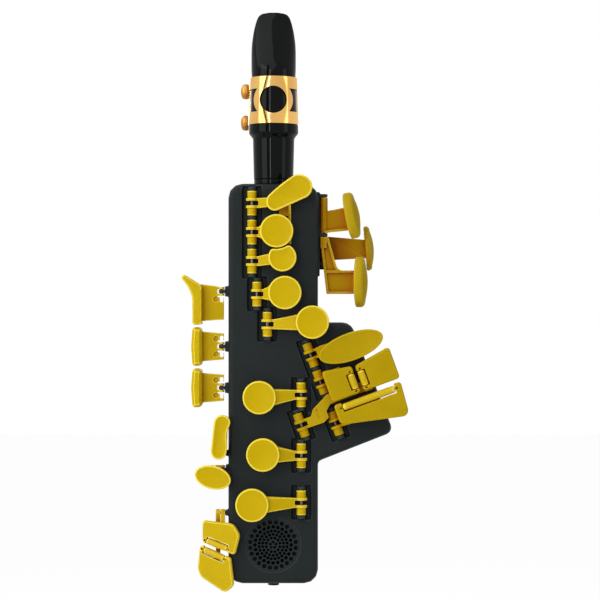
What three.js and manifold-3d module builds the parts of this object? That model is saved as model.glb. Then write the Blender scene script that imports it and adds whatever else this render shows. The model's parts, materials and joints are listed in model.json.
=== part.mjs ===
import * as THREE from 'three';
import { mergeVertices } from 'three/addons/utils/BufferGeometryUtils.js';
import Module from 'manifold-3d';

const wasm = await Module();
wasm.setup();

// A digital wind controller with the keys and mouthpiece of a small saxophone.
// Every piece is drawn in one drawing frame: x to the right, y up along the instrument,
// z out of the key side, with the origin at the middle of the housing's foot on the parting plane.
// The last group turns that frame so that +Z is up and the keys face -Y,
// and puts the origin at the centre of the strap ring, which holds the instrument in use.

// Clearances
const clearance = 0.3;
const boreClearance = 0.35;
const seamGap = 0.3;
const overrun = 1;
const seat = 0.4;
const weldDistance = 1e-4;

// Housing
const housingWidth = 48.6;
const frontDepth = 15;
const rearDepth = 15;
const housingWall = 2.2;
const faceWall = 2.4;
const housingCornerRadius = 7.5;
const housingEdgeRadius = 2.2;
const wingTopRise = 24.9;
const wingReach = 17.8;
const wingLength = 63.6;
const wingAngle = 21.4;
const wingRearDepth = 5;
const wingUpperRadius = 6.5;
const wingLowerRadius = 4;
const wingFilletRadius = 2.6;

// Case screws and their bosses
const bossRadius = 3;
const pilotRadius = 1;
const screwHoleRadius = 1.5;
const screwHeadRadius = 2.7;
const screwHeadDepth = 2;
const bossInset = 6.4;
const bossEndInset = 9;
const wingBossInset = 14;
const wingBossRise = 3.7;
const middleBossHeight = 127;

// Hinges of the front keys: a barrel with a forked middle turns on a steel rod held by posts
const hingeHeight = 1.2;
const barrelRadius = 2.5;
const barrelLength = 13.25;
const postThickness = 1.8;
const postRadius = 2.15;
const rodRadius = 0.9;
const prongRadius = 3.25;
const prongThickness = 1.4;
const prongSpacing = 3.9;
const pocketDepth = 2.5;
const pocketHalfWidth = 5.2;
const pocketEndMargin = 0.6;

// Front key touches and arms
const touchRadius = 8.95;
const touchUnderside = 7;
const touchThickness = 2.7;
const touchRim = 0.8;
const touchDish = 0.35;
const crownShare = 0.55;
const armThickness = 2.2;
const armNeckWidth = 5.3;
const armBroadWidth = 9.2;
const armRiseStart = 2.4;
const armRiseEnd = 4.6;
const armStepUp = 1.6;
const armBroadShare = 0.85;

// Hinge rows on the face: distance of each row from the side of the housing that it is nearest to,
// and what lies between it and its neighbour beside whole barrels
const upperRowInset = 12.9;
const upperRowMargin = 26.45;
const aRowInset = 15.6;
const aRowStep = 2.15;
const gRowInset = 21.2;
const gRowStep = 0.65;
const lowerRowInset = 9.1;
const fRowStep = 0.736;
const eRowStep = 0.864;
const dRowDrop = 25.4;
const grilleTuck = 0.625;

// Reach of each key from hinge to the middle of its touch, and how far the touch is off the barrel's middle
const bReach = 13.4;
const bRise = 0.5;
const bisReach = 16.5;
const bisRise = 1.9;
const bisTouchRadius = 7.5;
const bisRelief = 0.7;
const aReach = 15.1;
const aRise = 0.8;
const gReach = 24.3;
const gRise = 1.2;
const fReach = 22.5;
const fDrop = 1.2;
const eReach = 20.6;
const eRise = 0.9;
const dReach = 26.4;
const dDrop = 0.7;
const frontFReach = 12.4;
const frontFRise = 0.1;
const frontFTailRadius = 4.45;
const frontFHeadRadius = 6.3;
const frontFHeadReach = 26.3;
const frontFHeadRise = 8.4;
const frontFPlateLow = 2.1;
const frontFPlateThickness = 1.2;
const frontFPlateStart = 14.7;
const frontFPlateWidth = 6.4;
const frontFRibThickness = 1.3;
const frontFRibDrop = 22.2;

// Left little-finger table, in a frame turned with the wing, with its origin on the hinge line
const tableAngle = 20;
const tableInset = 1.3;
const tableDrop = 24;
const plateUnderside = 8.1;
const plateThickness = 3;
const plateEdge = 0.7;
const plateCornerRadius = 1.6;
const plateGap = 1.8;
const sharpReach = 21.9;
const sharpRise = -2.9;
const sharpHalfLength = 18;
const sharpHalfWidth = 7.4;
const lowSharpStart = 2.3;
const lowSharpWidth = 16.2;
const lowSharpOuterTop = -4.9;
const lowSharpInnerTop = -2.2;
const tablePlateBottom = -19.8;
const lowBWidth = 20.6;
const lowBInnerTop = -5.4;
const lowBOuterTop = -1.9;
const rollerRadius = 2.1;
const rollerLength = 8.3;
const rollerPinRadius = 0.7;
const rollerPinLength = 1.1;
const rollerMiddle = -13;
const rollerEdgeOffset = 2;
const rollerProud = 0.5;
const windowShare = 0.8;
const lowBHingeX = -17.7;
const lowBHingeY = -26;
const lowBArmUnderside = 2.75;
const lowBArmThickness = 1.6;
const lowBCrest = 4.65;
const lowBCrestStart = 15.4;
const lowBCrestEnd = 20.6;
const lowBDipReach = 31.7;
const lowBArmWidth = 5.5;
const lowBElbowReach = 12;
const lowBElbowLow = 5.5;
const lowBTurnReach = 18.6;
const lowBGrooveReach = 9.8;
const lowBPostLength = 5;
const lowBFlatHingeY = -31.4;
const lowBFlatTop = -21.6;
const lowBFlatInnerBottom = -32.6;
const lowBFlatOuterBottom = -40.6;
const lowBFlatWidth = 38.2;
const lowBFlatRollerLength = 29.4;
const lowBFlatRollerStart = 4.5;
const lowBFlatRollerDrop = 2.7;

// Palm keys on the right side of the housing
const palmTopMargin = 4.2;
const palmBracketLength = 45.8;
const palmBracketMargin = 1.1;
const palmBracketThickness = 1;
const palmAxisReach = 3.4;
const palmFrontAxis = 6.4;
const palmRearAxis = -3;
const sideBarrelRadius = 2;
const sidePinRadius = 0.9;
const sidePinLength = 1.6;
const lugThickness = 1.6;
const webThickness = 1.8;
const padDepth = 13;
const palmDLength = 19.3;
const palmDWebReach = 16;
const palmDWebDrop = 5;
const palmDWebStepDown = 2.2;
const palmDPadLength = 25.2;
const palmDPadWidth = 6.8;
const palmDPadAngle = 11;
const palmDPadDrop = 10.3;
const palmEHingeRise = 0.5;
const palmELength = 13.2;
const palmEWebReach = 23.2;
const palmEPadLength = 24.6;
const palmEPadWidth = 4.8;
const palmEPadAngle = 4.6;
const palmEPadRise = 6.7;
const palmFHingeLength = 6.1;
const palmFLegLength = 12.2;
const palmFPanelHeight = 12.8;
const palmFPanelReach = 18.6;
const palmFPadLength = 27.4;
const palmFPadWidth = 6.5;
const palmFPadRise = 6.5;
const palmPadTurn = 14;
const ribThickness = 1.3;
const ribHeight = 3.4;
const palmFrontPadDepth = 8.6;
const palmRearPadDepth = -6.6;
const palmLongPin = 4.4;
const padCrown = 1.9;
const padEdge = 1.5;

// Side keys on the left side of the housing
const sideAxisReach = 3.9;
const sideAxisDepth = 8;
const sidePostHeight = 5.7;
const tongueThickness = 1.7;
const forkThickness = 1.3;
const forkRadius = 1.6;
const forkRelief = 3.2;
const sideWebStart = 2.6;
const sideWebEnd = 15;
const sidePadStart = 14.4;
const sidePadWidth = 5.9;
const sidePadHeight = 21.3;
const sideWebNarrow = 14.2;
const sideWebWide = 16.4;
const sideERise = 17.8;
const sideCGap = 1.25;
const sideBFlatGap = 1.2;
const sideDimpleRadius = 1.5;
const sideDimpleOffset = 4.2;
const sideDimpleReach = 5.3;
const sideDimpleDepth = 0.9;
const sideEWebTop = 3.2;
const sideEWebBottom = 16.2;
const sideEPadBottom = 18.1;
const sideEFlareReach = 25.8;
const sideEFlareTop = 9.3;

// Bean and oval touches on the left edge
const edgeTouchUnderside = 4;
const edgeTouchThickness = 2.8;
const beanHingeDrop = 1.5;
const beanLobeRadius = 4.6;
const beanUpperDrop = 18.6;
const beanUpperInset = 3.2;
const beanLowerInset = 4.5;
const beanLength = 15.3;
const beanHollow = 1.2;
const beanHollowReach = 14;
const beanLegWidth = 9;
const beanAxisDepth = 9;
const ovalGap = 3;
const ovalReach = 8.1;
const ovalHalfLength = 9.9;
const ovalHalfWidth = 6.2;
const ovalAngle = 15;
const ovalHingeRise = 3.3;
const ovalAxisDepth = 10;
const ovalAxisReach = 3.4;

// Right little-finger keys
const littleAxisHeight = 38.4;
const crossPostReach = 1.5;
const hubLength = 2.4;
const hubRadius = 1.9;
const littleAxisDepth = 12.2;
const littleTilt = 20;
const littlePlateThickness = 2.8;
const littleInset = 6.2;
const littleRise = 7.3;
const littleCornerRadius = 4.5;
const eFlatDrop = 22.1;
const eFlatWidth = 20.4;
const eFlatHeight = 18.2;
const lowCStepOut = 2.7;
const littlePlateLap = 5.1;
const lowCWidth = 19.8;
const lowCHeight = 25.8;
const eFlatRollerReach = 12.5;
const eFlatRollerRise = 5.2;
const eFlatRollerSlope = -17.8;
const lowCRollerReach = 14.2;
const lowCRollerDrop = 5;
const lowCRollerSlope = -20.8;
const legRadius = 1.6;
const eFlatLegRise = 4.6;
const eFlatLegReach = 8;
const lowCLegDrop = 3.4;
const lowCLegBend = 21;
const lowCLegRise = 3.5;
const lowCLegReach = 30.5;
const littleRollerLength = 12.4;
const littleRollerRadius = 1.9;

// Speaker grille: rings of round holes
const grilleX = 0;
const grilleFootMargin = 6.7;
const grilleRadius = 14.4;
const grilleFlangeWidth = 1.6;
const grilleFlangeThickness = 1.2;
const grilleRingShares = [0.861, 0.681, 0.528, 0.396, 0.264, 0.111];
const grilleRingCounts = [24, 24, 24, 18, 12, 5];
const grilleHoleShares = [0.0715, 0.059, 0.0486, 0.0417, 0.0347, 0.0347];

// Neck, cork and mouthpiece
const neckBoreRadius = 4;
const neckTubeRadius = 6.5;
const neckRadius = 8.7;
const neckFlangeRadius = 10.2;
const neckFlangeThickness = 2.8;
const neckCollarRadius = 10.9;
const neckCollarHeight = 2.2;
const neckTubeHeight = 26;
const neckFoot = 5;
const corkThickness = 0.9;
const corkLength = 21;
const shankRadius = 11;
const shankTopRadius = 11.55;
const shankHeight = 22;
const shoulderRadius = 13.75;
const shoulderHeight = 4;
const shoulderFlare = 3.8;
const bodyLowRadius = 13.05;
const bodyHighRadius = 12.25;
const bodyHeight = 27.6;
const beakHeight = 34.4;
const beakHalfWidth = 12.4;
const tipThickness = 1.5;
const tableDepth = 8;
const mouthBoreRadius = 8;
const chamberRadius = 6;
const windowHalfWidth = 5.2;
const windowTopMargin = 4;
const windowBottomMargin = 6;
const reedTipHalfWidth = 7.7;
const reedButtHalfWidth = 5.4;
const reedButtThickness = 2.5;
const reedTipThickness = 0.5;
const ligatureThickness = 0.7;
const ligatureWindowRadius = 7.4;
const ligatureRingWidth = 3.3;
const ligatureBand = 6.6;
const ligatureSlit = 1.2;
const lugRadius = 2.1;
const lugLength = 6.4;
const lugDepth = 15.6;
const screwShaftRadius = 1.1;
const screwKnobRadius = 4.2;
const screwKnobLength = 4.2;
const screwKnobStart = 14.3;
const upperScrewDrop = 7.2;
const lowerScrewRise = 2.6;

// Fittings at the foot
const plugRadius = 3;
const plugHeight = 2.9;
const plugStemRadius = 2.1;
const socketWidth = 9;
const socketHeight = 3.2;
const socketDepth = 7.4;
const socketBossGap = 1.4;
const socketWall = 0.5;

// Pieces inside the housing
const boardThickness = 1.6;
const boardBack = 4.4;
const boardMargin = 2.6;
const standoffRadius = 1.6;
const batteryWidth = 34;
const batteryHeight = 62;
const batteryThickness = 7.5;
const batteryFoot = 56;
const speakerRadius = 13;
const speakerDepth = 3.6;
const speakerMagnetRadius = 7;
const hoseRadius = 2.1;
const hoseBoreRadius = 1.3;
const hoseAxis = -1.1;
const sensorWidth = 10;
const sensorHeight = 12;
const sensorDrop = 30.8;

// Fittings on the back
const strapRingDrop = 8.6;
const strapRingRadius = 5.6;
const strapRingWire = 1.15;
const strapBaseRadius = 5;
const strapBaseThickness = 1.6;
const strapStemRadius = 1.8;
const thumbRestRise = 28;
const thumbRestRadius = 8.5;
const thumbRestThickness = 2.6;
const thumbRestStemRadius = 3;
const thumbHookRise = 5.4;
const hookWidth = 16;
const hookBaseHeight = 30;
const hookBaseThickness = 2.2;
const hookReach = 20;
const hookThickness = 3;
const hookLip = 8;
const hookScrewRadius = 4;
const hookScrewHeight = 2.6;
const hookScrewShaft = 1.6;
const octaveGap = 1.2;
const octaveHingeStandoff = 3.2;
const octaveReach = 14;
const octaveBarrelLength = 10;
const octaveTouchLength = 13;
const octaveTouchWidth = 17;
const octaveTouchThickness = 2.6;
const octaveTouchUnderside = 3.4;
const powerButtonRise = 11;
const powerButtonX = 12;
const powerButtonRadius = 4;
const powerButtonProud = 1.6;

// Smoothness of round shapes
const cornerSteps = 3;
const edgeSteps = 1;
const housingEdgeSteps = 2;
const touchSteps = 18;
const barrelSteps = 10;
const rodSteps = 8;
const boreSteps = 8;
const roundSteps = 24;
const grilleHoleSteps = 5;
const rollerSteps = 12;
const lobeSteps = 8;

const degrees = THREE.MathUtils.degToRad;
const quarterTurn = Math.PI / 2;
const halfTurn = Math.PI;
const side = housingWidth / 2;
const barrelPitch = barrelLength + postThickness + 2 * clearance;

function rowHalfLength(barrels) {
  return (barrels * barrelPitch + postThickness) / 2;
}

// Heights above the housing's foot, each worked out from its neighbour below.
// Places on the little-finger table are turned with it about the middle of its upper rod.
const tableTurn = degrees(tableAngle);
function turnedOnTable(x, y) {
  return new THREE.Vector2(x, y).rotateAround(new THREE.Vector2(), tableTurn);
}
const lowBHingeOnTable = turnedOnTable(lowBHingeX, lowBHingeY);
const grilleY = grilleFootMargin + grilleRadius;
const dRowHeight = grilleY + grilleRadius - grilleTuck + pocketEndMargin + rowHalfLength(1);
const eRowHeight = dRowHeight + dRowDrop;
const lowBRowHeight = eRowHeight + barrelPitch + eRowStep;
const fRowHeight = lowBRowHeight + barrelPitch + fRowStep;
const tableX = side - tableInset;
const tableY = lowBRowHeight - lowBHingeOnTable.y;
const gRowHeight = tableY + tableDrop;
const aRowHeight = gRowHeight + barrelPitch + gRowStep;
const upperRowHeight = aRowHeight + 2 * barrelPitch + aRowStep;
const housingHeight = upperRowHeight + upperRowMargin;
const wingTop = tableY + wingTopRise;

const palmBracketHigh = housingHeight - palmTopMargin;
const palmBracketLow = palmBracketHigh - palmBracketLength;
const palmDHigh = palmBracketHigh - palmBracketMargin - lugThickness - clearance;
const palmDLow = palmDHigh - palmDLength;
const palmDWebTop = palmDHigh - palmDWebDrop;
const palmDWebStep = palmDWebTop - palmDWebStepDown;
const palmDPadHeight = palmDHigh - palmDPadDrop;
const palmMiddleLug = palmDLow - clearance - lugThickness;
const palmFHingeHigh = palmMiddleLug - clearance;
const palmFHingeLow = palmFHingeHigh - palmFHingeLength;
const palmFPanelHigh = palmFHingeLow - palmFLegLength;
const palmFPanelLow = palmFPanelHigh - palmFPanelHeight;
const palmFPadHeight = palmFPanelLow + palmFPadRise;
const palmEHigh = palmFHingeHigh + palmEHingeRise;
const palmELow = palmEHigh - palmELength;
const palmEPadHeight = palmELow + palmEPadRise;

const sideEHeight = gRowHeight + sideERise;
const sideCHeight = sideEHeight - sideEPadBottom - sideCGap - sidePadHeight / 2;
const sideBFlatHeight = sideCHeight - sidePadHeight - sideBFlatGap;
const beanUpperHeight = sideBFlatHeight - beanUpperDrop;
const beanLowerHeight = beanUpperHeight - beanLength;
const beanHingeHeight = beanLowerHeight - beanHingeDrop;
const ovalHeight = beanLowerHeight - beanLobeRadius - ovalGap - ovalHalfWidth;
const ovalHingeHeight = ovalHeight + ovalHingeRise;

const littleRight = -side + littleInset;
const eFlatLeft = littleRight - eFlatWidth;
const eFlatLow = littleAxisHeight - eFlatDrop;
const eFlatRollerX = littleRight - eFlatRollerReach;
const eFlatRollerY = eFlatLow + eFlatRollerRise;
const lowCLeft = eFlatLeft - lowCStepOut;
const lowCLow = eFlatLow + littlePlateLap - lowCHeight;
const lowCRollerX = littleRight - lowCRollerReach;
const lowCRollerY = lowCLow + lowCHeight - lowCRollerDrop;

const strapRingHeight = gRowHeight - strapRingDrop;
const thumbRestHeight = strapRingHeight + thumbRestRise;
const powerButtonHeight = strapRingHeight + powerButtonRise;
const octaveHingeHeight = thumbRestHeight + thumbRestRadius + octaveGap + octaveTouchLength / 2 + octaveReach;
const thumbHookHeight = eRowHeight + thumbHookRise;
const sensorFoot = housingHeight - sensorDrop;
const socketX = side - bossInset - bossRadius - socketBossGap - socketWidth / 2;

// Materials
function finish(color, roughness, metalness = 0) {
  return new THREE.MeshStandardMaterial({ color, roughness, metalness, flatShading: true });
}
const keyPlastic = finish(0xc8af0a, 0.45);
const casePlastic = finish(0x262c2c, 0.6);
const ebonite = finish(0x0e1110, 0.15);
const gold = finish(0xf0c373, 0.18, 1);
const steel = finish(0xc9cdd0, 0.25, 1);
const cane = finish(0xd9bf83, 0.6);
const cork = finish(0xb98d5c, 0.85);
const rubber = finish(0x151717, 0.8);
const board = finish(0x1c5a36, 0.5);
const foil = finish(0x9fb0bd, 0.4, 0.2);

// Solids: closed shapes that are joined to and cut from each other
function solidOf(geometry) {
  const shell = geometry.clone();
  shell.deleteAttribute('normal');
  shell.deleteAttribute('uv');
  const merged = mergeVertices(shell, weldDistance);
  const places = merged.attributes.position;
  const indices = merged.index.array;
  const corners = [new THREE.Vector3(), new THREE.Vector3(), new THREE.Vector3()];
  const kept = [];
  let volume = 0;
  for (let start = 0; start < indices.length; start += 3) {
    const triangle = Array.from(indices.slice(start, start + 3));
    if (new Set(triangle).size === 3) {
      triangle.forEach((index, order) => corners[order].fromBufferAttribute(places, index));
      volume += corners[0].dot(corners[1].cross(corners[2]));
      kept.push(triangle);
    }
  }
  const facingOut = volume < 0 ? kept.map(([a, b, c]) => [a, c, b]) : kept;
  return new wasm.Manifold(new wasm.Mesh({
    numProp: 3,
    vertProperties: new Float32Array(places.array),
    triVerts: Uint32Array.from(facingOut.flat()),
  }));
}

function geometryOf(solid) {
  const mesh = solid.getMesh();
  const geometry = new THREE.BufferGeometry();
  geometry.setAttribute('position', new THREE.BufferAttribute(mesh.vertProperties, 3));
  geometry.setIndex(new THREE.BufferAttribute(mesh.triVerts, 1));
  return geometry;
}

function join(...pieces) {
  return geometryOf(pieces.map(solidOf).reduce((whole, piece) => whole.add(piece)));
}

function cut(piece, ...tools) {
  return geometryOf(tools.map(solidOf).reduce((rest, tool) => rest.subtract(tool), solidOf(piece)));
}

function shared(first, second) {
  return geometryOf(solidOf(first).intersect(solidOf(second)));
}

// Shapes
function block(x0, x1, y0, y1, z0, z1) {
  const box = new THREE.BoxGeometry(x1 - x0, y1 - y0, z1 - z0);
  return box.translate((x0 + x1) / 2, (y0 + y1) / 2, (z0 + z1) / 2);
}

// A straight round bar along one axis, from one end to the other
function bar(axis, radius, from, to, steps = barrelSteps) {
  const cylinder = new THREE.CylinderGeometry(radius, radius, to - from, steps);
  cylinder.rotateY(halfTurn / steps);
  cylinder.translate(0, (from + to) / 2, 0);
  if (axis === 'x') cylinder.rotateZ(-quarterTurn);
  if (axis === 'z') cylinder.rotateX(quarterTurn);
  return cylinder;
}

function polygon(places) {
  return places.map(([x, y]) => new THREE.Vector2(x, y));
}

function circle(x, y, radius, steps = touchSteps) {
  return Array.from({ length: steps }, (_, step) => {
    const turn = 2 * Math.PI * step / steps;
    return new THREE.Vector2(x + radius * Math.cos(turn), y + radius * Math.sin(turn));
  });
}

function ellipse(x, y, halfLength, halfWidth, angle = 0, steps = touchSteps) {
  const centre = new THREE.Vector2(x, y);
  return circle(0, 0, 1, steps).map((place) => new THREE.Vector2(place.x * halfLength, place.y * halfWidth)
    .rotateAround(new THREE.Vector2(), angle).add(centre));
}

// An outline through corners given as [x, y, radius], each rounded by an arc
function rounded(corners, steps = cornerSteps) {
  return corners.flatMap(([x, y, radius], index) => {
    const here = new THREE.Vector2(x, y);
    if (!radius) return [here];
    const [beforeX, beforeY] = corners.at(index - 1);
    const [afterX, afterY] = corners[(index + 1) % corners.length];
    const toBefore = new THREE.Vector2(beforeX, beforeY).sub(here).normalize();
    const toAfter = new THREE.Vector2(afterX, afterY).sub(here).normalize();
    const halfAngle = Math.acos(THREE.MathUtils.clamp(toBefore.dot(toAfter), -1, 1)) / 2;
    const towardsCentre = toBefore.clone().add(toAfter).normalize();
    const centre = towardsCentre.multiplyScalar(radius / Math.sin(halfAngle)).add(here);
    const start = toBefore.clone().multiplyScalar(radius / Math.tan(halfAngle)).add(here).sub(centre);
    const end = toAfter.clone().multiplyScalar(radius / Math.tan(halfAngle)).add(here).sub(centre);
    const sweep = Math.atan2(start.cross(end), start.dot(end));
    return Array.from({ length: steps + 1 }, (_, step) => start.clone()
      .rotateAround(new THREE.Vector2(), sweep * step / steps).add(centre));
  });
}

// The same corners drawn in by a wall's thickness, with each radius following
function drawnIn(corners, distance) {
  return corners.map(([x, y, radius], index) => {
    const here = new THREE.Vector2(x, y);
    const [beforeX, beforeY] = corners.at(index - 1);
    const [afterX, afterY] = corners[(index + 1) % corners.length];
    const along = here.clone().sub(new THREE.Vector2(beforeX, beforeY)).normalize();
    const onward = new THREE.Vector2(afterX, afterY).sub(here).normalize();
    const turn = along.cross(onward);
    const spread = distance / (1 + along.dot(onward));
    const inward = new THREE.Vector2(-along.y - onward.y, along.x + onward.x).multiplyScalar(spread);
    const newRadius = turn > 0 ? Math.max(radius - distance, distance / 2) : radius + distance;
    return [x + inward.x, y + inward.y, newRadius];
  });
}

// A slab with the given outline in x and y, between two heights in z, with rounded edges if asked
function slab(points, from, to, edge = 0, steps = edgeSteps) {
  const extruded = new THREE.ExtrudeGeometry(new THREE.Shape(points), {
    depth: to - from - 2 * edge,
    bevelEnabled: edge > 0,
    bevelThickness: edge,
    bevelSize: edge,
    bevelOffset: -edge,
    bevelSegments: steps,
  });
  return extruded.translate(0, 0, from + edge);
}

// A slab whose outline lies in x and z, between two places in y
function sideSlab(points, from, to) {
  return slab(points, -to, -from).rotateX(quarterTurn);
}

// A slab whose outline lies in z and y, between two places in x
function endSlab(points, from, to) {
  return slab(points, -to, -from).rotateY(-quarterTurn);
}

// A closed skin over rings of equal numbers of points, with a point closing each end
function skin(rings, first, last) {
  const count = rings[0].length;
  const places = rings.flat().concat([first, last]).flatMap((place) => place.toArray());
  const firstIndex = rings.length * count;
  const faces = [];
  for (let step = 0; step < count; step += 1) {
    const next = (step + 1) % count;
    faces.push(firstIndex, next, step);
    for (let ring = 0; ring + 1 < rings.length; ring += 1) {
      const low = ring * count;
      const high = low + count;
      faces.push(low + step, low + next, high + next);
      faces.push(low + step, high + next, high + step);
    }
    const top = (rings.length - 1) * count;
    faces.push(top + step, top + next, firstIndex + 1);
  }
  const geometry = new THREE.BufferGeometry();
  geometry.setAttribute('position', new THREE.Float32BufferAttribute(places, 3));
  geometry.setIndex(faces);
  return join(geometry);
}

// A finger touch: a rounded rim round a face that is crowned, or dished where the crown is negative
function touchPad(points, low, high, rim = touchRim, crown = -touchDish) {
  const sum = points.reduce((total, place) => total.add(place), new THREE.Vector2());
  const centre = sum.divideScalar(points.length);
  const ring = (inset, height, share = 1) => points.map((place, index) => {
    const before = points.at(index - 1);
    const after = points[(index + 1) % points.length];
    const along = after.clone().sub(before).normalize();
    const drawn = new THREE.Vector2(place.x - along.y * inset, place.y + along.x * inset);
    drawn.lerp(centre, 1 - share);
    return new THREE.Vector3(drawn.x, drawn.y, height);
  });
  const rings = [
    ring(rim, low),
    ring(0, low + rim),
    ring(0, high - rim),
    ring(rim, high),
  ];
  if (crown > 0) rings.push(ring(rim, high + crown * (1 - crownShare * crownShare), crownShare));
  const underside = new THREE.Vector3(centre.x, centre.y, low);
  const face = new THREE.Vector3(centre.x, centre.y, high + crown);
  return skin(rings, underside, face);
}

function turned(profile, steps = roundSteps) {
  return join(new THREE.LatheGeometry(polygon(profile), steps));
}

function nodeOf(name, geometry, material) {
  const flat = geometry.index ? geometry.toNonIndexed() : geometry;
  flat.computeVertexNormals();
  const mesh = new THREE.Mesh(flat, material);
  mesh.name = name;
  return mesh;
}

function placed(object, x, y, z, turn = 0) {
  const group = new THREE.Group();
  group.position.set(x, y, z);
  group.rotation.z = turn;
  group.add(object);
  return group;
}

// Housing outline, anticlockwise from the lower left corner
const wingTurn = degrees(wingAngle);
const wingTipX = side + wingReach + wingLength * Math.sin(wingTurn);
const wingTipY = wingTop - wingLength * Math.cos(wingTurn);
const wingRootY = wingTipY - (wingTipX - side) * Math.tan(wingTurn);
const columnCorners = [
  [-side, 0, housingCornerRadius],
  [side, 0, housingCornerRadius],
  [side, housingHeight, housingCornerRadius],
  [-side, housingHeight, housingCornerRadius],
];
const outlineCorners = [
  [-side, 0, housingCornerRadius],
  [side, 0, housingCornerRadius],
  [side, wingRootY, wingFilletRadius],
  [wingTipX, wingTipY, wingLowerRadius],
  [side + wingReach, wingTop, wingUpperRadius],
  [side, wingTop, wingFilletRadius],
  [side, housingHeight, housingCornerRadius],
  [-side, housingHeight, housingCornerRadius],
];

const standoffX = side - bossInset - bossRadius;
const standoffPlaces = [
  [-standoffX, eRowHeight],
  [standoffX, fRowHeight + 2 * barrelPitch],
  [-standoffX, fRowHeight + 2 * barrelPitch],
  [standoffX, upperRowHeight - barrelPitch / 2],
];

const bosses = [
  [-side + bossInset, bossEndInset],
  [side - bossInset, bossEndInset],
  [-side + bossInset, housingHeight - bossEndInset],
  [side - bossInset, housingHeight - bossEndInset],
  [-side + bossInset, middleBossHeight],
  [wingTipX - wingBossInset, wingTipY + wingBossRise],
];

// Hinge rows: each has a place, a turn and the number of barrels on one rod
function onTable(x, y) {
  return turnedOnTable(x, y).add(new THREE.Vector2(tableX, tableY));
}
const lowBHinge = onTable(lowBHingeX, lowBHingeY);
const lowBFlatHinge = onTable(0, lowBFlatHingeY);
const hingeRows = [
  { rod: 'upper_stack_rod', x: -side + upperRowInset, y: upperRowHeight, turn: 0, barrels: 3 },
  { rod: 'a_key_rod', x: -side + aRowInset, y: aRowHeight, turn: 0, barrels: 1 },
  { rod: 'g_key_rod', x: -side + gRowInset, y: gRowHeight, turn: 0, barrels: 1 },
  { rod: 'f_key_rod', x: side - lowerRowInset, y: fRowHeight, turn: 0, barrels: 1 },
  { rod: 'e_key_rod', x: side - lowerRowInset, y: eRowHeight, turn: 0, barrels: 1 },
  { rod: 'd_key_rod', x: side - lowerRowInset, y: dRowHeight, turn: 0, barrels: 1 },
  { rod: 'table_upper_rod', x: tableX, y: tableY, turn: tableTurn, barrels: 2 },
  { rod: 'low_b_rod', x: lowBHinge.x, y: lowBHinge.y, turn: tableTurn, barrels: 1 },
  { rod: 'low_b_flat_rod', x: lowBFlatHinge.x, y: lowBFlatHinge.y, turn: tableTurn, barrels: 1 },
];

// Places a geometry drawn in a hinge row's own frame onto the housing's face
function ontoRow(geometry, row) {
  return geometry.rotateZ(row.turn).translate(row.x, row.y, frontDepth);
}

function rowBacking(row) {
  const half = rowHalfLength(row.barrels) + pocketEndMargin + housingWall;
  const width = pocketHalfWidth + housingWall;
  return ontoRow(block(-width, width, -half, half, -pocketDepth - housingWall, -faceWall / 2), row);
}

function rowPocket(row) {
  const half = rowHalfLength(row.barrels) + pocketEndMargin;
  return ontoRow(block(-pocketHalfWidth, pocketHalfWidth, -half, half, -pocketDepth, overrun), row);
}

// The posts of a row stand in its pocket and carry the rod above the face
function rowPosts(row) {
  const firstPost = -row.barrels * barrelPitch / 2;
  return Array.from({ length: row.barrels + 1 }, (_, index) => {
    const middle = firstPost + index * barrelPitch;
    const low = middle - postThickness / 2;
    const high = middle + postThickness / 2;
    const upright = block(-postRadius, postRadius, low, high, -pocketDepth - seat, hingeHeight);
    const eye = bar('y', postRadius, low, high, rodSteps).translate(0, 0, hingeHeight);
    return ontoRow(join(upright, eye), row);
  });
}

function rowBore(row) {
  const half = rowHalfLength(row.barrels);
  const bore = bar('y', rodRadius + boreClearance, -half - seat, half + seat, boreSteps);
  return ontoRow(bore.translate(0, 0, hingeHeight), row);
}

function rowRod(row) {
  const half = rowHalfLength(row.barrels);
  const rod = nodeOf(row.rod, bar('y', rodRadius, -half, half, rodSteps), steel);
  return placed(rod, row.x, row.y, frontDepth + hingeHeight, row.turn);
}

// Side posts on the left edge: a tongue with a stub pin each way carries a forked key
const sidePosts = [
  { y: sideEHeight, depth: sideAxisDepth, reach: sideAxisReach },
  { y: sideCHeight, depth: sideAxisDepth, reach: sideAxisReach },
  { y: sideBFlatHeight, depth: sideAxisDepth, reach: sideAxisReach },
  { y: ovalHingeHeight, depth: ovalAxisDepth, reach: ovalAxisReach },
];
const pinHalfLength = tongueThickness / 2 + clearance + forkThickness;
const postStandoff = forkRadius + clearance;

function sidePost({ y, depth, reach }) {
  const axisX = -side - reach;
  const foot = block(axisX + postStandoff, -side + seat, y - sidePostHeight / 2, y + sidePostHeight / 2,
    depth - forkRadius, depth + forkRadius);
  const tongue = block(axisX, -side, y - tongueThickness / 2, y + tongueThickness / 2,
    depth - forkRadius, depth + forkRadius);
  const eye = bar('y', forkRadius, -tongueThickness / 2, tongueThickness / 2).translate(axisX, y, depth);
  const pin = bar('y', sidePinRadius, -pinHalfLength, pinHalfLength, rodSteps).translate(axisX, y, depth);
  return join(foot, tongue, eye, pin);
}

// Posts whose pin lies across the housing, for the bean touch and the right little-finger keys
function crossPost(height, depth, pinLength) {
  const end = -side - crossPostReach;
  const foot = block(end, -side + seat, height - forkRadius, height + forkRadius,
    depth - forkRadius, depth + forkRadius);
  const pin = bar('x', sidePinRadius, end - pinLength, end + seat, rodSteps).translate(0, height, depth);
  return join(foot, pin);
}

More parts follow.
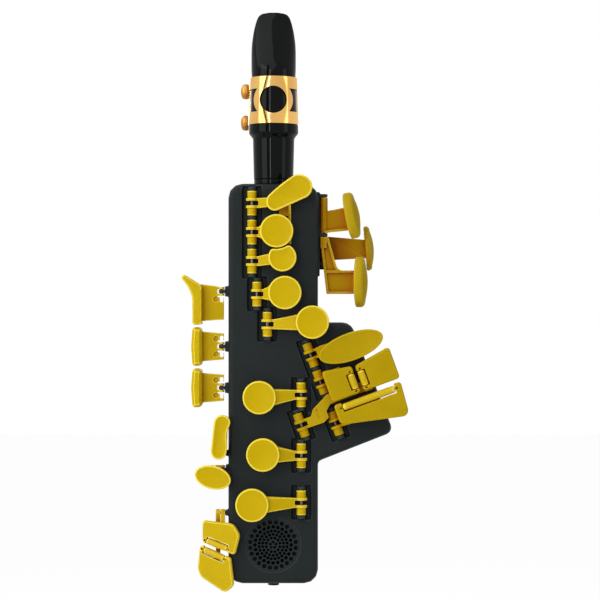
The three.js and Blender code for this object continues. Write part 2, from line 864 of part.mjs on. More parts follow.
// Lugs of the palm bracket: each has a stub pin that enters the end of a key's barrel
const palmX = side + palmAxisReach;
function palmLug(low, depth, pinDown, pinUp) {
  const high = low + lugThickness;
  const arm = block(side - seat, palmX, low, high, depth - sideBarrelRadius, depth + sideBarrelRadius);
  const eye = bar('y', sideBarrelRadius, low, high).translate(palmX, 0, depth);
  const pin = bar('y', sidePinRadius, low - pinDown, high + pinUp, rodSteps).translate(palmX, 0, depth);
  return join(arm, eye, pin);
}

// Heights of what stands in the neck of the housing
const collarTop = housingHeight + clearance + neckCollarHeight;
const mouthFoot = collarTop + clearance;
const shoulderFoot = mouthFoot + shankHeight + shoulderFlare;
const bodyFoot = shoulderFoot + shoulderHeight;
const beakFoot = bodyFoot + bodyHeight;
const mouthTop = beakFoot + beakHeight;
const neckHoleRadius = neckRadius + clearance;

// Holes that lie half in each half of the housing
function endHoles() {
  return [
    bar('y', neckHoleRadius, housingHeight - 2 * housingWall, housingHeight + overrun, roundSteps),
    bar('y', plugStemRadius + clearance, -overrun, 2 * housingWall).translate(0, 0, hoseAxis),
  ];
}

function frontHousing() {
  const outside = slab(rounded(outlineCorners), -2 * housingEdgeRadius, frontDepth, housingEdgeRadius,
    housingEdgeSteps);
  const hollow = slab(rounded(drawnIn(outlineCorners, housingWall)), -overrun, frontDepth - faceWall);
  const behindSeam = block(-housingHeight, housingHeight, -housingHeight, 2 * housingHeight,
    -housingHeight, seamGap / 2);
  const screwBosses = bosses.map(([x, y]) => bar('z', bossRadius, seamGap / 2, frontDepth - faceWall / 2)
    .translate(x, y, 0));
  const pilots = bosses.map(([x, y]) => bar('z', pilotRadius, -overrun, frontDepth - 2 * faceWall, boreSteps)
    .translate(x, y, 0));
  const boardTop = boardBack + boardThickness;
  const standoffs = standoffPlaces.map(([x, y]) => bar('z', standoffRadius, boardTop + clearance,
    frontDepth - faceWall / 2, boreSteps).translate(x, y, 0));
  const bracket = block(side - seat, side + palmBracketThickness, palmBracketLow, palmBracketHigh,
    seamGap / 2, palmFrontAxis + sideBarrelRadius);
  const lugs = [
    palmLug(palmMiddleLug, palmFrontAxis, palmLongPin, sidePinLength),
    palmLug(palmDHigh + clearance, palmFrontAxis, sidePinLength, 0),
  ];
  const grilleHole = bar('z', grilleRadius + clearance, 0, frontDepth + overrun, roundSteps)
    .translate(grilleX, grilleY, 0);
  const socketHole = block(socketX - socketWidth / 2 - clearance, socketX + socketWidth / 2 + clearance,
    -overrun, 2 * housingWall, -overrun, boardBack + clearance);
  const shell = cut(outside, hollow, behindSeam);
  const backing = shared(join(...hingeRows.map(rowBacking)), outside);
  const flangeSpace = bar('z', grilleRadius + grilleFlangeWidth + clearance, boardTop, frontDepth - faceWall,
    roundSteps).translate(grilleX, grilleY, 0);
  const built = join(shell, ...screwBosses, ...standoffs, cut(backing, flangeSpace), bracket, ...lugs,
    ...sidePosts.map(sidePost), crossPost(beanHingeHeight, beanAxisDepth, hubLength + clearance),
    crossPost(littleAxisHeight, littleAxisDepth, 2 * (hubLength + clearance)));
  const pocketed = cut(built, ...hingeRows.map(rowPocket), ...endHoles(), grilleHole, socketHole, ...pilots);
  return cut(join(pocketed, ...hingeRows.flatMap(rowPosts)), ...hingeRows.map(rowBore));
}

function rearHousing() {
  const outside = join(
    slab(rounded(columnCorners), -rearDepth, 2 * housingEdgeRadius, housingEdgeRadius, housingEdgeSteps),
    slab(rounded(outlineCorners), -wingRearDepth, 2 * housingEdgeRadius, housingEdgeRadius),
  );
  const hollow = join(
    slab(rounded(drawnIn(columnCorners, housingWall)), -rearDepth + faceWall, overrun),
    slab(rounded(drawnIn(outlineCorners, housingWall)), -wingRearDepth + faceWall, overrun),
  );
  const beforeSeam = block(-housingHeight, housingHeight, -housingHeight, 2 * housingHeight,
    -seamGap / 2, housingHeight);
  const backOf = (x) => (x > side ? wingRearDepth : rearDepth);
  const screwBosses = bosses.map(([x, y]) => bar('z', bossRadius, -backOf(x) + faceWall / 2, -seamGap / 2)
    .translate(x, y, 0));
  const screwHoles = bosses.flatMap(([x, y]) => [
    bar('z', screwHoleRadius, -backOf(x) - overrun, 0, boreSteps).translate(x, y, 0),
    bar('z', screwHeadRadius, -backOf(x) - overrun, -backOf(x) + screwHeadDepth).translate(x, y, 0),
  ]);
  const bracket = block(side - seat, side + palmBracketThickness, palmELow - lugThickness - 2 * clearance,
    palmEHigh + lugThickness + 2 * clearance, palmRearAxis - sideBarrelRadius, -seamGap / 2);
  const lugs = [
    palmLug(palmELow - clearance - lugThickness, palmRearAxis, 0, sidePinLength),
    palmLug(palmEHigh + clearance, palmRearAxis, sidePinLength, 0),
  ];
  const octavePosts = [-1, 1].map((hand) => {
    const middle = hand * (octaveBarrelLength / 2 + clearance + postThickness / 2);
    const low = middle - postThickness / 2;
    const high = middle + postThickness / 2;
    const upright = block(low, high, octaveHingeHeight - postRadius, octaveHingeHeight + postRadius,
      octaveAxisDepth, -rearDepth + seat);
    const eye = bar('x', postRadius, low, high).translate(0, octaveHingeHeight, octaveAxisDepth);
    return join(upright, eye);
  });
  const boreHalf = octaveRodHalf + seat;
  const octaveBore = bar('x', rodRadius + boreClearance, -boreHalf, boreHalf, boreSteps)
    .translate(0, octaveHingeHeight, octaveAxisDepth);
  const through = (x, y, radius) => bar('z', radius, -rearDepth - overrun, -rearDepth + 2 * faceWall)
    .translate(x, y, 0);
  const shell = cut(outside, hollow, beforeSeam);
  const built = join(shell, ...screwBosses, bracket, ...lugs, ...octavePosts);
  return cut(built, ...screwHoles, ...endHoles(), octaveBore,
    through(0, strapRingHeight, strapStemRadius + clearance),
    through(0, thumbRestHeight, thumbRestStemRadius + clearance),
    through(0, thumbHookHeight + hookScrewRise, hookScrewShaft + clearance),
    through(powerButtonX, powerButtonHeight, powerButtonRadius + clearance));
}

// The round grille drops into the face from behind and rests on a flange; its holes lie in staggered rings
function speakerGrille() {
  const disc = join(
    bar('z', grilleRadius, frontDepth - faceWall - clearance, frontDepth, roundSteps),
    bar('z', grilleRadius + grilleFlangeWidth, frontDepth - faceWall - clearance - grilleFlangeThickness,
      frontDepth - faceWall - clearance, roundSteps),
  );
  const holes = grilleRingShares.flatMap((ringShare, ring) => {
    const count = grilleRingCounts[ring];
    const radius = grilleRadius * grilleHoleShares[ring];
    return Array.from({ length: count }, (_, index) => {
      const turn = 2 * Math.PI * (index + (ring + 1) % 2 / 2) / count + quarterTurn;
      return bar('z', radius, 0, frontDepth + overrun, grilleHoleSteps)
        .translate(grilleRadius * ringShare * Math.cos(turn), grilleRadius * ringShare * Math.sin(turn), 0);
    });
  });
  return cut(disc, join(...holes)).translate(grilleX, grilleY, 0);
}

// Neck, cork, mouthpiece, reed and ligature, all round the y axis
function neckSocket() {
  const flangeTop = housingHeight - housingWall - clearance;
  const flangeLow = flangeTop - neckFlangeThickness;
  return turned([
    [neckBoreRadius, flangeLow - neckFoot],
    [neckTubeRadius, flangeLow - neckFoot],
    [neckTubeRadius, flangeLow],
    [neckFlangeRadius, flangeLow],
    [neckFlangeRadius, flangeTop],
    [neckRadius, flangeTop],
    [neckRadius, housingHeight + clearance],
    [neckCollarRadius, housingHeight + clearance],
    [neckCollarRadius, collarTop - seat],
    [neckCollarRadius - seat, collarTop],
    [neckTubeRadius, collarTop],
    [neckTubeRadius, collarTop + neckTubeHeight],
    [neckBoreRadius, collarTop + neckTubeHeight],
    [neckBoreRadius, flangeLow - neckFoot],
  ]);
}

function neckCork() {
  const inner = neckTubeRadius + clearance;
  const foot = collarTop + (neckTubeHeight - corkLength) / 2;
  return turned([
    [inner, foot],
    [inner + corkThickness, foot],
    [inner + corkThickness, foot + corkLength],
    [inner, foot + corkLength],
    [inner, foot],
  ]);
}

// Sections of the beak as shares: height up the beak, half width, front,
// and the line where the sides are widest
const beakHeightShares = [0, 0.08, 0.25, 0.4, 0.56, 0.72, 0.88, 0.96, 1];
const beakWidthShares = [0.988, 1, 1, 0.976, 0.919, 0.831, 0.718, 0.677, 0.5];
const beakFrontShares = [0.988, 0.976, 0.69, 0.45, 0.177, -0.097, -0.37, -0.5, -0.53];
const beakMiddleShares = [0, 0, -0.12, -0.24, -0.38, -0.5, -0.58, -0.6, -0.62];

function mouthpiece() {
  const ring = (height, halfWidth, front, middle) => circle(0, 0, 1, roundSteps).map(({ x, y }) => {
    const depth = y > 0 ? front - middle : halfWidth + middle / 2;
    return new THREE.Vector3(x * halfWidth, height, middle + y * depth);
  });
  const roundRing = (height, radius) => ring(height, radius, radius, 0);
  const shoulderShares = [0.25, 0.5, 0.75, 1];
  const rings = [
    roundRing(mouthFoot, shankRadius - seat),
    roundRing(mouthFoot + seat, shankRadius),
    roundRing(mouthFoot + shankHeight, shankTopRadius),
    ...shoulderShares.map((share) => roundRing(mouthFoot + shankHeight + shoulderFlare * share,
      THREE.MathUtils.lerp(shankTopRadius, shoulderRadius, share * share * (3 - 2 * share)))),
    roundRing(bodyFoot - seat, shoulderRadius),
    roundRing(bodyFoot, shoulderRadius - seat),
    roundRing(bodyFoot, bodyLowRadius),
    ...beakHeightShares.map((share, index) => ring(
      beakFoot + beakHeight * share,
      index ? beakHalfWidth * beakWidthShares[index] : bodyHighRadius,
      index ? beakHalfWidth * beakFrontShares[index] : bodyHighRadius,
      beakHalfWidth * beakMiddleShares[index],
    )),
  ];
  const tip = new THREE.Vector3(0, mouthTop, -tableDepth + tipThickness / 2);
  const outside = skin(rings, new THREE.Vector3(0, mouthFoot, 0), tip);
  const table = block(-shoulderRadius, shoulderRadius, bodyFoot, mouthTop + overrun,
    -2 * shoulderRadius, -tableDepth);
  const boreTop = mouthFoot + neckTubeHeight + 2 * clearance;
  const bore = bar('y', mouthBoreRadius, mouthFoot - overrun, boreTop, roundSteps);
  const windowLow = beakFoot + windowBottomMargin;
  const windowHigh = mouthTop - windowTopMargin;
  const chamber = bar('y', chamberRadius, boreTop - overrun, windowLow + chamberRadius, roundSteps);
  const window = endSlab(polygon([
    [-tableDepth - overrun, windowLow],
    [0, windowLow],
    [-tableDepth + tipThickness / 2, windowHigh],
    [-tableDepth - overrun, windowHigh],
  ]), -windowHalfWidth, windowHalfWidth);
  return cut(outside, table, bore, chamber, window);
}

function reed() {
  const inner = -tableDepth - clearance;
  const foot = bodyFoot + clearance;
  const tip = mouthTop - clearance;
  const scrape = beakFoot + windowBottomMargin;
  const sideView = endSlab(polygon([
    [inner, foot],
    [inner, tip],
    [inner - reedTipThickness, tip],
    [inner - reedButtThickness, scrape],
    [inner - reedButtThickness, foot],
  ]), -shoulderRadius, shoulderRadius);
  const plan = slab(rounded([
    [-reedButtHalfWidth, foot, 0],
    [reedButtHalfWidth, foot, 0],
    [reedTipHalfWidth, tip, reedTipHalfWidth / 2],
    [-reedTipHalfWidth, tip, reedTipHalfWidth / 2],
  ]), -shoulderRadius, 0);
  return shared(sideView, plan);
}

const ligatureFoot = bodyFoot + clearance;
const ligatureTop = beakFoot;
const ligatureMiddle = (ligatureFoot + ligatureTop) / 2;
const ligatureScrewHeights = [ligatureTop - upperScrewDrop, ligatureFoot + lowerScrewRise];

function ligature() {
  const innerLow = bodyLowRadius + clearance;
  const innerHigh = bodyHighRadius + clearance;
  const band = turned([
    [innerLow, ligatureFoot],
    [innerLow + ligatureThickness, ligatureFoot],
    [innerHigh + ligatureThickness, ligatureTop],
    [innerHigh, ligatureTop],
    [innerLow, ligatureFoot],
  ]);
  const lugs = ligatureScrewHeights.flatMap((height) => [-1, 1].map((hand) => {
    const near = hand * ligatureSlit;
    const far = hand * (ligatureSlit + lugLength);
    const low = Math.min(near, far);
    const high = Math.max(near, far);
    return join(
      bar('x', lugRadius, low, high).translate(0, height, -lugDepth),
      block(low, high, height - lugRadius * 0.8, height + lugRadius * 0.8, -lugDepth, -innerHigh + lugRadius),
    );
  }));
  const inside = turned([
    [0, ligatureFoot - overrun],
    [innerLow, ligatureFoot - overrun],
    [innerLow, ligatureFoot],
    [innerHigh, ligatureTop],
    [innerHigh, ligatureTop + overrun],
    [0, ligatureTop + overrun],
  ]);
  const roundWindow = bar('z', ligatureWindowRadius, 0, 2 * lugDepth, roundSteps)
    .translate(0, ligatureMiddle, 0);
  const ringZone = bar('z', ligatureWindowRadius + ligatureRingWidth, -lugDepth, 2 * lugDepth, roundSteps)
    .translate(0, ligatureMiddle, 0);
  const sideWindows = cut(block(-2 * innerLow, 2 * innerLow, ligatureFoot + ligatureBand,
    ligatureTop - ligatureBand, -ligatureRingWidth, 2 * lugDepth), ringZone);
  const slit = block(-ligatureSlit, ligatureSlit, ligatureFoot - overrun, ligatureTop + overrun,
    -2 * lugDepth, 0);
  const bores = ligatureScrewHeights.map((height) => bar('x', screwShaftRadius + boreClearance, -2 * lugDepth,
    2 * lugDepth, boreSteps).translate(0, height, -lugDepth));
  return cut(join(band, ...lugs), inside, roundWindow, sideWindows, slit, ...bores);
}

function ligatureScrew() {
  const knob = turned([
    [0, 0],
    [screwKnobRadius - seat, 0],
    [screwKnobRadius, seat],
    [screwKnobRadius, screwKnobLength - seat],
    [screwKnobRadius - seat, screwKnobLength],
    [0, screwKnobLength],
  ], touchSteps).rotateZ(quarterTurn).translate(-screwKnobStart, 0, 0);
  const shaft = bar('x', screwShaftRadius, -screwKnobStart - seat, ligatureSlit + lugLength, boreSteps);
  return join(knob, shaft);
}

// Fittings at the foot
function drainPlug() {
  return turned([
    [0, -plugHeight],
    [plugRadius - seat, -plugHeight],
    [plugRadius, -plugHeight + seat],
    [plugRadius, -clearance],
    [plugStemRadius, -clearance],
    [plugStemRadius, housingWall + seat],
    [0, housingWall + seat],
  ], touchSteps);
}

function chargingSocket() {
  const low = boardBack - clearance - socketHeight;
  const high = boardBack - clearance;
  const half = socketWidth / 2;
  const outside = block(socketX - half, socketX + half, clearance, socketDepth, low, high);
  const mouth = block(socketX - half + socketWall, socketX + half - socketWall,
    -overrun, socketDepth - 2 * socketWall, low + socketWall, high - socketWall);
  const tongue = block(socketX - half + 3 * socketWall, socketX + half - 3 * socketWall, 3 * socketWall,
    socketDepth - socketWall, (low + high - socketWall) / 2, (low + high + socketWall) / 2);
  return join(cut(outside, mouth), tongue);
}

// Pieces inside the housing
function mainBoard() {
  const half = side - housingWall - boardMargin;
  const foot = 2 * housingWall;
  const top = housingHeight - housingWall - neckFlangeThickness - neckFoot - 2 * boardMargin;
  const plate = block(-half, half, foot, top, boardBack, boardBack + boardThickness);
  const notches = bosses.map(([x, y]) => bar('z', bossRadius + 2 * clearance, 0, frontDepth)
    .translate(x, y, 0));
  return cut(plate, ...notches);
}

function speaker() {
  const front = frontDepth - faceWall - 2 * clearance - grilleFlangeThickness;
  const basket = bar('z', speakerRadius, front - speakerDepth, front, roundSteps);
  const cone = bar('z', speakerRadius - housingWall, front - speakerDepth / 3, front + overrun, roundSteps);
  const magnet = bar('z', speakerMagnetRadius, boardBack + boardThickness + clearance,
    front - speakerDepth + seat);
  return join(cut(basket, cone), magnet).translate(grilleX, grilleY, 0);
}

function breathSensor() {
  const high = boardBack - clearance;
  const low = hoseAxis + hoseRadius + clearance;
  return block(-sensorWidth / 2, sensorWidth / 2, sensorFoot, sensorFoot + sensorHeight, low, high);
}

function airHose() {
  const foot = housingWall + seat + clearance;
  const top = housingHeight - housingWall - 2 * clearance - neckFlangeThickness - neckFoot;
  return turned([
    [hoseBoreRadius, foot],
    [hoseRadius, foot],
    [hoseRadius, top],
    [hoseBoreRadius, top],
    [hoseBoreRadius, foot],
  ], boreSteps).translate(0, 0, hoseAxis);
}

function battery() {
  const back = -rearDepth + faceWall + clearance;
  return slab(rounded([
    [-batteryWidth / 2, batteryFoot, housingWall],
    [batteryWidth / 2, batteryFoot, housingWall],
    [batteryWidth / 2, batteryFoot + batteryHeight, housingWall],
    [-batteryWidth / 2, batteryFoot + batteryHeight, housingWall],
  ]), back, back + batteryThickness, seat);
}

// Fittings on the back, drawn with their seats on the rear face
const rearSeat = -rearDepth - clearance;
const strapRingDepth = rearSeat - strapBaseThickness - strapRingRadius + strapRingWire / 2;

function strapRing() {
  const ring = new THREE.TorusGeometry(strapRingRadius, strapRingWire, touchSteps / 3, touchSteps)
    .rotateY(quarterTurn).translate(0, strapRingHeight, strapRingDepth);
  const base = bar('z', strapBaseRadius, rearSeat - strapBaseThickness, rearSeat, touchSteps)
    .translate(0, strapRingHeight, 0);
  const stem = bar('z', strapStemRadius, rearSeat - seat, -rearDepth + faceWall + seat)
    .translate(0, strapRingHeight, 0);
  return join(ring, base, stem);
}

function thumbRest() {
  const rest = touchPad(circle(0, 0, thumbRestRadius), 0, thumbRestThickness);
  rest.rotateY(halfTurn).translate(0, thumbRestHeight, rearSeat);
  const stem = bar('z', thumbRestStemRadius, rearSeat - seat, -rearDepth + faceWall + seat)
    .translate(0, thumbRestHeight, 0);
  return join(rest, stem);
}

const hookBaseFoot = thumbHookHeight - hookLip - hookThickness / 2;
const hookScrewRise = hookBaseHeight - hookLip - 2 * hookScrewRadius;
function thumbHook() {
  const half = hookWidth / 2;
  const baseTop = hookBaseFoot + hookBaseHeight;
  const base = slab(rounded([
    [-half, hookBaseFoot, hookThickness],
    [half, hookBaseFoot, hookThickness],
    [half, baseTop, hookThickness],
    [-half, baseTop, hookThickness],
  ]), rearSeat - hookBaseThickness, rearSeat, seat);
  const far = rearSeat - hookBaseThickness - hookReach;
  const arch = endSlab(rounded([
    [rearSeat - hookBaseThickness / 2, thumbHookHeight, 0],
    [rearSeat - hookBaseThickness / 2, thumbHookHeight + hookThickness, 0],
    [far, thumbHookHeight + hookThickness, hookThickness + hookLip / 2],
    [far, thumbHookHeight - hookLip, hookThickness / 3],
    [far + hookThickness, thumbHookHeight - hookLip, hookThickness / 3],
    [far + hookThickness, thumbHookHeight, hookLip / 2],
  ]), -half + 2 * seat, half - 2 * seat);
  const screwHole = bar('z', hookScrewShaft + clearance, -2 * rearDepth, 0)
    .translate(0, thumbHookHeight + hookScrewRise, 0);
  return cut(join(base, arch), screwHole);
}

function thumbHookScrew() {
  const top = rearSeat - hookBaseThickness - clearance;
  const head = bar('z', hookScrewRadius, top - hookScrewHeight, top, touchSteps);
  const slot = block(-hookScrewRadius - overrun, hookScrewRadius + overrun, -seat, seat,
    top - hookScrewHeight - overrun, top - hookScrewHeight + 2 * seat);
  const shaft = bar('z', hookScrewShaft, top - seat, -rearDepth + faceWall - seat, boreSteps);
  return join(cut(head, slot), shaft);
}

const octaveAxisDepth = -rearDepth - octaveHingeStandoff;
const octaveRodHalf = octaveBarrelLength / 2 + clearance + postThickness;
function octaveKey() {
  const barrel = bar('x', barrelRadius, -octaveBarrelLength / 2, octaveBarrelLength / 2);
  const touchFar = -octaveReach - octaveTouchLength / 2;
  const touchNear = -octaveReach + octaveTouchLength / 2;
  const half = octaveTouchWidth / 2;
  const lift = octaveTouchUnderside - octaveHingeStandoff;
  const touch = slab(rounded([
    [-half, touchFar, half / 2],
    [half, touchFar, half / 2],
    [half, touchNear, half / 3],
    [-half, touchNear, half / 3],
  ]), -lift - octaveTouchThickness, -lift, touchRim);
  const arm = block(-armNeckWidth / 2, armNeckWidth / 2, touchNear - barrelRadius, 0,
    -armThickness / 2 - seat, armThickness / 2 - seat);
  const bore = bar('x', rodRadius + boreClearance, -octaveBarrelLength, octaveBarrelLength, boreSteps);
  return cut(join(barrel, touch, arm), bore);
}

function powerButton() {
  const inside = -rearDepth + faceWall + clearance;
  return turned([
    [0, inside + 2 * seat],
    [powerButtonRadius + 2 * seat, inside + 2 * seat],
    [powerButtonRadius + 2 * seat, inside],
    [powerButtonRadius, inside],
    [powerButtonRadius, -rearDepth - powerButtonProud + seat],
    [powerButtonRadius - seat, -rearDepth - powerButtonProud],
    [0, -rearDepth - powerButtonProud],
  ], touchSteps).rotateX(quarterTurn);
}

// Front keys, each in its own frame: hinge along y through the origin, arm along x, heights from the hinge
const touchLow = touchUnderside - hingeHeight;
const touchHigh = touchLow + touchThickness;
const neckHalf = armNeckWidth / 2;
const slotHalf = (prongSpacing - prongThickness) / 2;
const slotEnd = barrelRadius + overrun;

// The barrel is split in the middle by a slot between two round prongs, where the rod can be seen
function forkedKey(...pieces) {
  const barrel = bar('y', barrelRadius, -barrelLength / 2, barrelLength / 2);
  const prongs = [-1, 1].map((hand) => bar('y', prongRadius, hand * prongSpacing / 2 - prongThickness / 2,
    hand * prongSpacing / 2 + prongThickness / 2));
  const slot = block(-prongRadius - overrun, slotEnd, -slotHalf, slotHalf, -prongRadius - overrun,
    prongRadius + overrun);
  const bore = bar('y', rodRadius + boreClearance, -barrelLength, barrelLength, boreSteps);
  return cut(join(barrel, ...prongs, ...pieces), slot, bore);
}

// An arm that rises from the barrel to the underside of a touch
function arm(plan, rampEnd, tip, underside = touchLow) {
  const half = armThickness / 2;
  const high = underside + seat / 2;
  const low = high - armThickness;
  const profile = polygon([
    [0, -half],
    [armRiseStart, -half],
    [armRiseEnd, armStepUp - half],
    [rampEnd, low],
    [tip, low],
    [tip, high],
    [rampEnd, high],
    [armRiseStart, armThickness - seat / 2],
    [0, half],
  ]);
  return shared(slab(plan, -housingWidth, housingWidth), sideSlab(profile, -housingWidth, housingWidth));
}

function armPlan(broadStart, end, rise, broadWidth = armBroadWidth) {
  const broadHalf = broadWidth / 2;
  return polygon([
    [0, -neckHalf],
    [slotEnd, -neckHalf],
    [broadStart, rise - broadHalf],
    [end, rise - broadHalf],
    [end, rise + broadHalf],
    [broadStart, rise + broadHalf],
    [slotEnd, neckHalf],
    [0, neckHalf],
  ]);
}

const rampMinimum = armRiseEnd + armThickness / 4;
function roundKey(reach, rise) {
  const edge = Math.max(reach - touchRadius, rampMinimum);
  const plan = armPlan(Math.max(reach - touchRadius * armBroadShare, rampMinimum), reach, rise);
  return forkedKey(arm(plan, edge, reach), touchPad(circle(reach, rise, touchRadius), touchLow, touchHigh));
}

// The bis touch is a round touch hollowed on the side that faces its round neighbour
function bisKey() {
  const neighbour = new THREE.Vector2(bReach, bRise + barrelPitch);
  const reliefRadius = touchRadius + bisRelief;
  const outline = circle(bisReach, bisRise, bisTouchRadius, roundSteps).map((place) => {
    const away = place.clone().sub(neighbour);
    const distance = away.length();
    const kept = (distance + reliefRadius + Math.hypot(distance - reliefRadius, bisRelief)) / 2;
    return away.setLength(kept).add(neighbour);
  });
  const edge = bisReach - bisTouchRadius;
  const plan = armPlan(edge, bisReach, bisRise / 2, armNeckWidth + armThickness / 2);
  return forkedKey(arm(plan, edge, bisReach), touchPad(outline, touchLow, touchHigh));
}

// An outline round two circles of different sizes
function lobe(x1, y1, radius1, x2, y2, radius2) {
  const along = Math.atan2(y2 - y1, x2 - x1);
  const spread = Math.acos((radius1 - radius2) / Math.hypot(x2 - x1, y2 - y1));
  const arc = (x, y, radius, from, to) => Array.from({ length: lobeSteps + 1 }, (_, step) => {
    const turn = along + THREE.MathUtils.lerp(from, to, step / lobeSteps);
    return new THREE.Vector2(x + radius * Math.cos(turn), y + radius * Math.sin(turn));
  });
  return [...arc(x2, y2, radius2, -spread, spread), ...arc(x1, y1, radius1, spread, 2 * Math.PI - spread)];
}

// The front F key: a long slanting touch, with a low plate and a rib that reach under the next key
function frontFKey() {
  const outline = lobe(frontFReach, frontFRise, frontFTailRadius,
    frontFHeadReach, frontFHeadRise, frontFHeadRadius);
  const edge = frontFReach - frontFTailRadius;
  const plan = armPlan(edge, frontFReach, 0, armNeckWidth);
  const low = frontFPlateLow - hingeHeight;
  const high = low + frontFPlateThickness;
  const ribEnd = frontFPlateStart + frontFPlateWidth;
  const plate = block(frontFPlateStart, ribEnd, -frontFPlateWidth - seat, frontFTailRadius / 2, low, high);
  const rib = endSlab(polygon([
    [low, -frontFRibDrop],
    [high, -frontFRibDrop],
    [high, -frontFPlateWidth],
    [touchLow + seat, -frontFRibThickness],
    [touchLow + seat, frontFTailRadius / 2],
    [low, frontFTailRadius / 2],
  ]), ribEnd - frontFRibThickness, ribEnd);
  return forkedKey(arm(plan, edge, frontFReach), touchPad(outline, touchLow, touchHigh), plate, rib);
}

// Little-finger table keys, in frames like the front keys' but turned with the wing
const plateLow = plateUnderside - hingeHeight;
const plateHigh = plateLow + plateThickness;
const rollerHeight = plateHigh + rollerProud - rollerRadius;

function plate(corners, low = plateLow) {
  return slab(rounded(corners), low, low + plateThickness, plateEdge);
}

function plateArm(end, rise = 0, broadWidth = armBroadWidth) {
  const rampEnd = armRiseEnd + armThickness;
  return arm(armPlan(rampEnd, end, rise, broadWidth), rampEnd, end, plateLow);
}

function gSharpKey() {
  const outline = ellipse(sharpReach, sharpRise, sharpHalfLength, sharpHalfWidth, 0, roundSteps);
  const touch = touchPad(outline, plateLow, plateHigh);
  return forkedKey(plateArm(sharpReach, sharpRise / 2), touch);
}

// What a roller takes out of a plate: a slot open to one side, bores for its pins and small windows over them
function rollerSpace(axis, length, openX, openY, height = rollerHeight, radius = rollerRadius) {
  const half = length / 2 + clearance;
  const margin = radius + boreClearance;
  const reach = half + rollerPinLength + clearance;
  const window = rollerPinRadius * windowShare;
  const top = height + radius + overrun;
  if (axis === 'y') {
    const slot = block(Math.min(-margin, openX), Math.max(margin, openX), -half, half,
      height - 2 * margin, top);
    const pins = bar('y', rollerPinRadius + boreClearance, -reach, reach, boreSteps).translate(0, 0, height);
    return join(slot, pins, block(-window, window, -reach, reach, height, top));
  }
  const slot = block(-half, half, Math.min(-margin, openY), Math.max(margin, openY),
    height - 2 * margin, top);
  const pins = bar('x', rollerPinRadius + boreClearance, -reach, reach, boreSteps).translate(0, 0, height);
  return join(slot, pins, block(-reach, reach, -window, window, height, top));
}

// A roller about its own y axis, with a pin at each end
function roller(length, radius = rollerRadius) {
  const half = length / 2;
  const shoulder = radius - seat;
  const tip = half + rollerPinLength;
  return turned([
    [0, -tip],
    [rollerPinRadius, -tip],
    [rollerPinRadius, -half],
    [shoulder, -half],
    [radius, -half + seat],
    [radius, half - seat],
    [shoulder, half],
    [rollerPinRadius, half],
    [rollerPinRadius, tip],
    [0, tip],
  ], rollerSteps);
}

// The low C sharp key hangs on the lower half of the table's upper rod
const sharpBarrelY = -barrelPitch / 2;
const lowSharpEnd = lowSharpStart + lowSharpWidth;
const lowSharpRollerX = lowSharpEnd - rollerEdgeOffset;
const lowSharpRollerY = rollerMiddle - sharpBarrelY;
function lowCSharpKey() {
  const touch = plate([
    [lowSharpStart, tablePlateBottom - sharpBarrelY, plateCornerRadius],
    [lowSharpEnd, tablePlateBottom - sharpBarrelY, plateCornerRadius],
    [lowSharpEnd, lowSharpOuterTop - sharpBarrelY, plateCornerRadius],
    [lowSharpStart, lowSharpInnerTop - sharpBarrelY, plateCornerRadius],
  ]);
  const space = rollerSpace('y', rollerLength, 2 * rollerRadius, 0)
    .translate(lowSharpRollerX, lowSharpRollerY, 0);
  return cut(forkedKey(plateArm(lowSharpRollerX - 2 * rollerRadius), touch), space);
}

// The low B key has a dog-leg arm that runs under the low C sharp plate to its own plate
const lowBStart = lowSharpEnd + plateGap - lowBHingeX;
const lowBRollerX = lowBStart + rollerEdgeOffset;
const lowBRollerY = rollerMiddle - lowBHingeY;
const lowBPassHigh = lowBElbowLow + lowBArmWidth;
function lowBKey() {
  const end = lowBStart + lowBWidth;
  const touch = plate([
    [lowBStart, tablePlateBottom - lowBHingeY, plateCornerRadius],
    [end, tablePlateBottom - lowBHingeY, plateCornerRadius],
    [end, lowBOuterTop - lowBHingeY, plateCornerRadius],
    [lowBStart, lowBInnerTop - lowBHingeY, plateCornerRadius],
  ]);
  const low = lowBArmUnderside - hingeHeight;
  const high = low + lowBArmThickness;
  const crest = lowBCrest - hingeHeight;
  const elbowStart = lowBElbowReach - lowBArmWidth;
  const plan = polygon([
    [0, -neckHalf],
    [lowBElbowReach, -neckHalf],
    [lowBElbowReach + slotEnd, -neckHalf / 2 + seat],
    [lowBElbowReach + slotEnd, lowBElbowLow / 2],
    [lowBTurnReach, lowBElbowLow],
    [lowBStart + lowBPostLength, lowBElbowLow],
    [lowBStart + lowBPostLength, lowBPassHigh],
    [lowBTurnReach, lowBPassHigh],
    [elbowStart + armThickness, lowBElbowLow + seat],
    [elbowStart, neckHalf],
    [0, neckHalf],
  ]);
  const profile = polygon([
    [0, -armThickness / 2],
    [armRiseStart, -armThickness / 2],
    [lowBCrestStart, crest],
    [lowBCrestEnd, crest],
    [lowBDipReach, low],
    [lowBStart + lowBPostLength, low],
    [lowBStart + lowBPostLength, high],
    [lowBDipReach, high],
    [lowBCrestEnd, crest + lowBArmThickness],
    [lowBCrestStart, crest + lowBArmThickness],
    [armRiseStart, armThickness - seat / 2],
    [0, armThickness / 2],
  ]);
  const leg = shared(slab(plan, -housingWidth, housingWidth), sideSlab(profile, -housingWidth, housingWidth));
  const post = block(lowBStart + 2 * seat, lowBStart + lowBPostLength, lowBElbowLow, lowBPassHigh, low,
    plateLow + seat);
  const groove = block(lowBGrooveReach, lowBGrooveReach + lowBArmThickness, -seat, lowBElbowLow, crest,
    plateLow);
  const space = rollerSpace('y', rollerLength, -2 * rollerRadius, 0).translate(lowBRollerX, lowBRollerY, 0);
  return cut(forkedKey(leg, post, touch), groove, space);
}

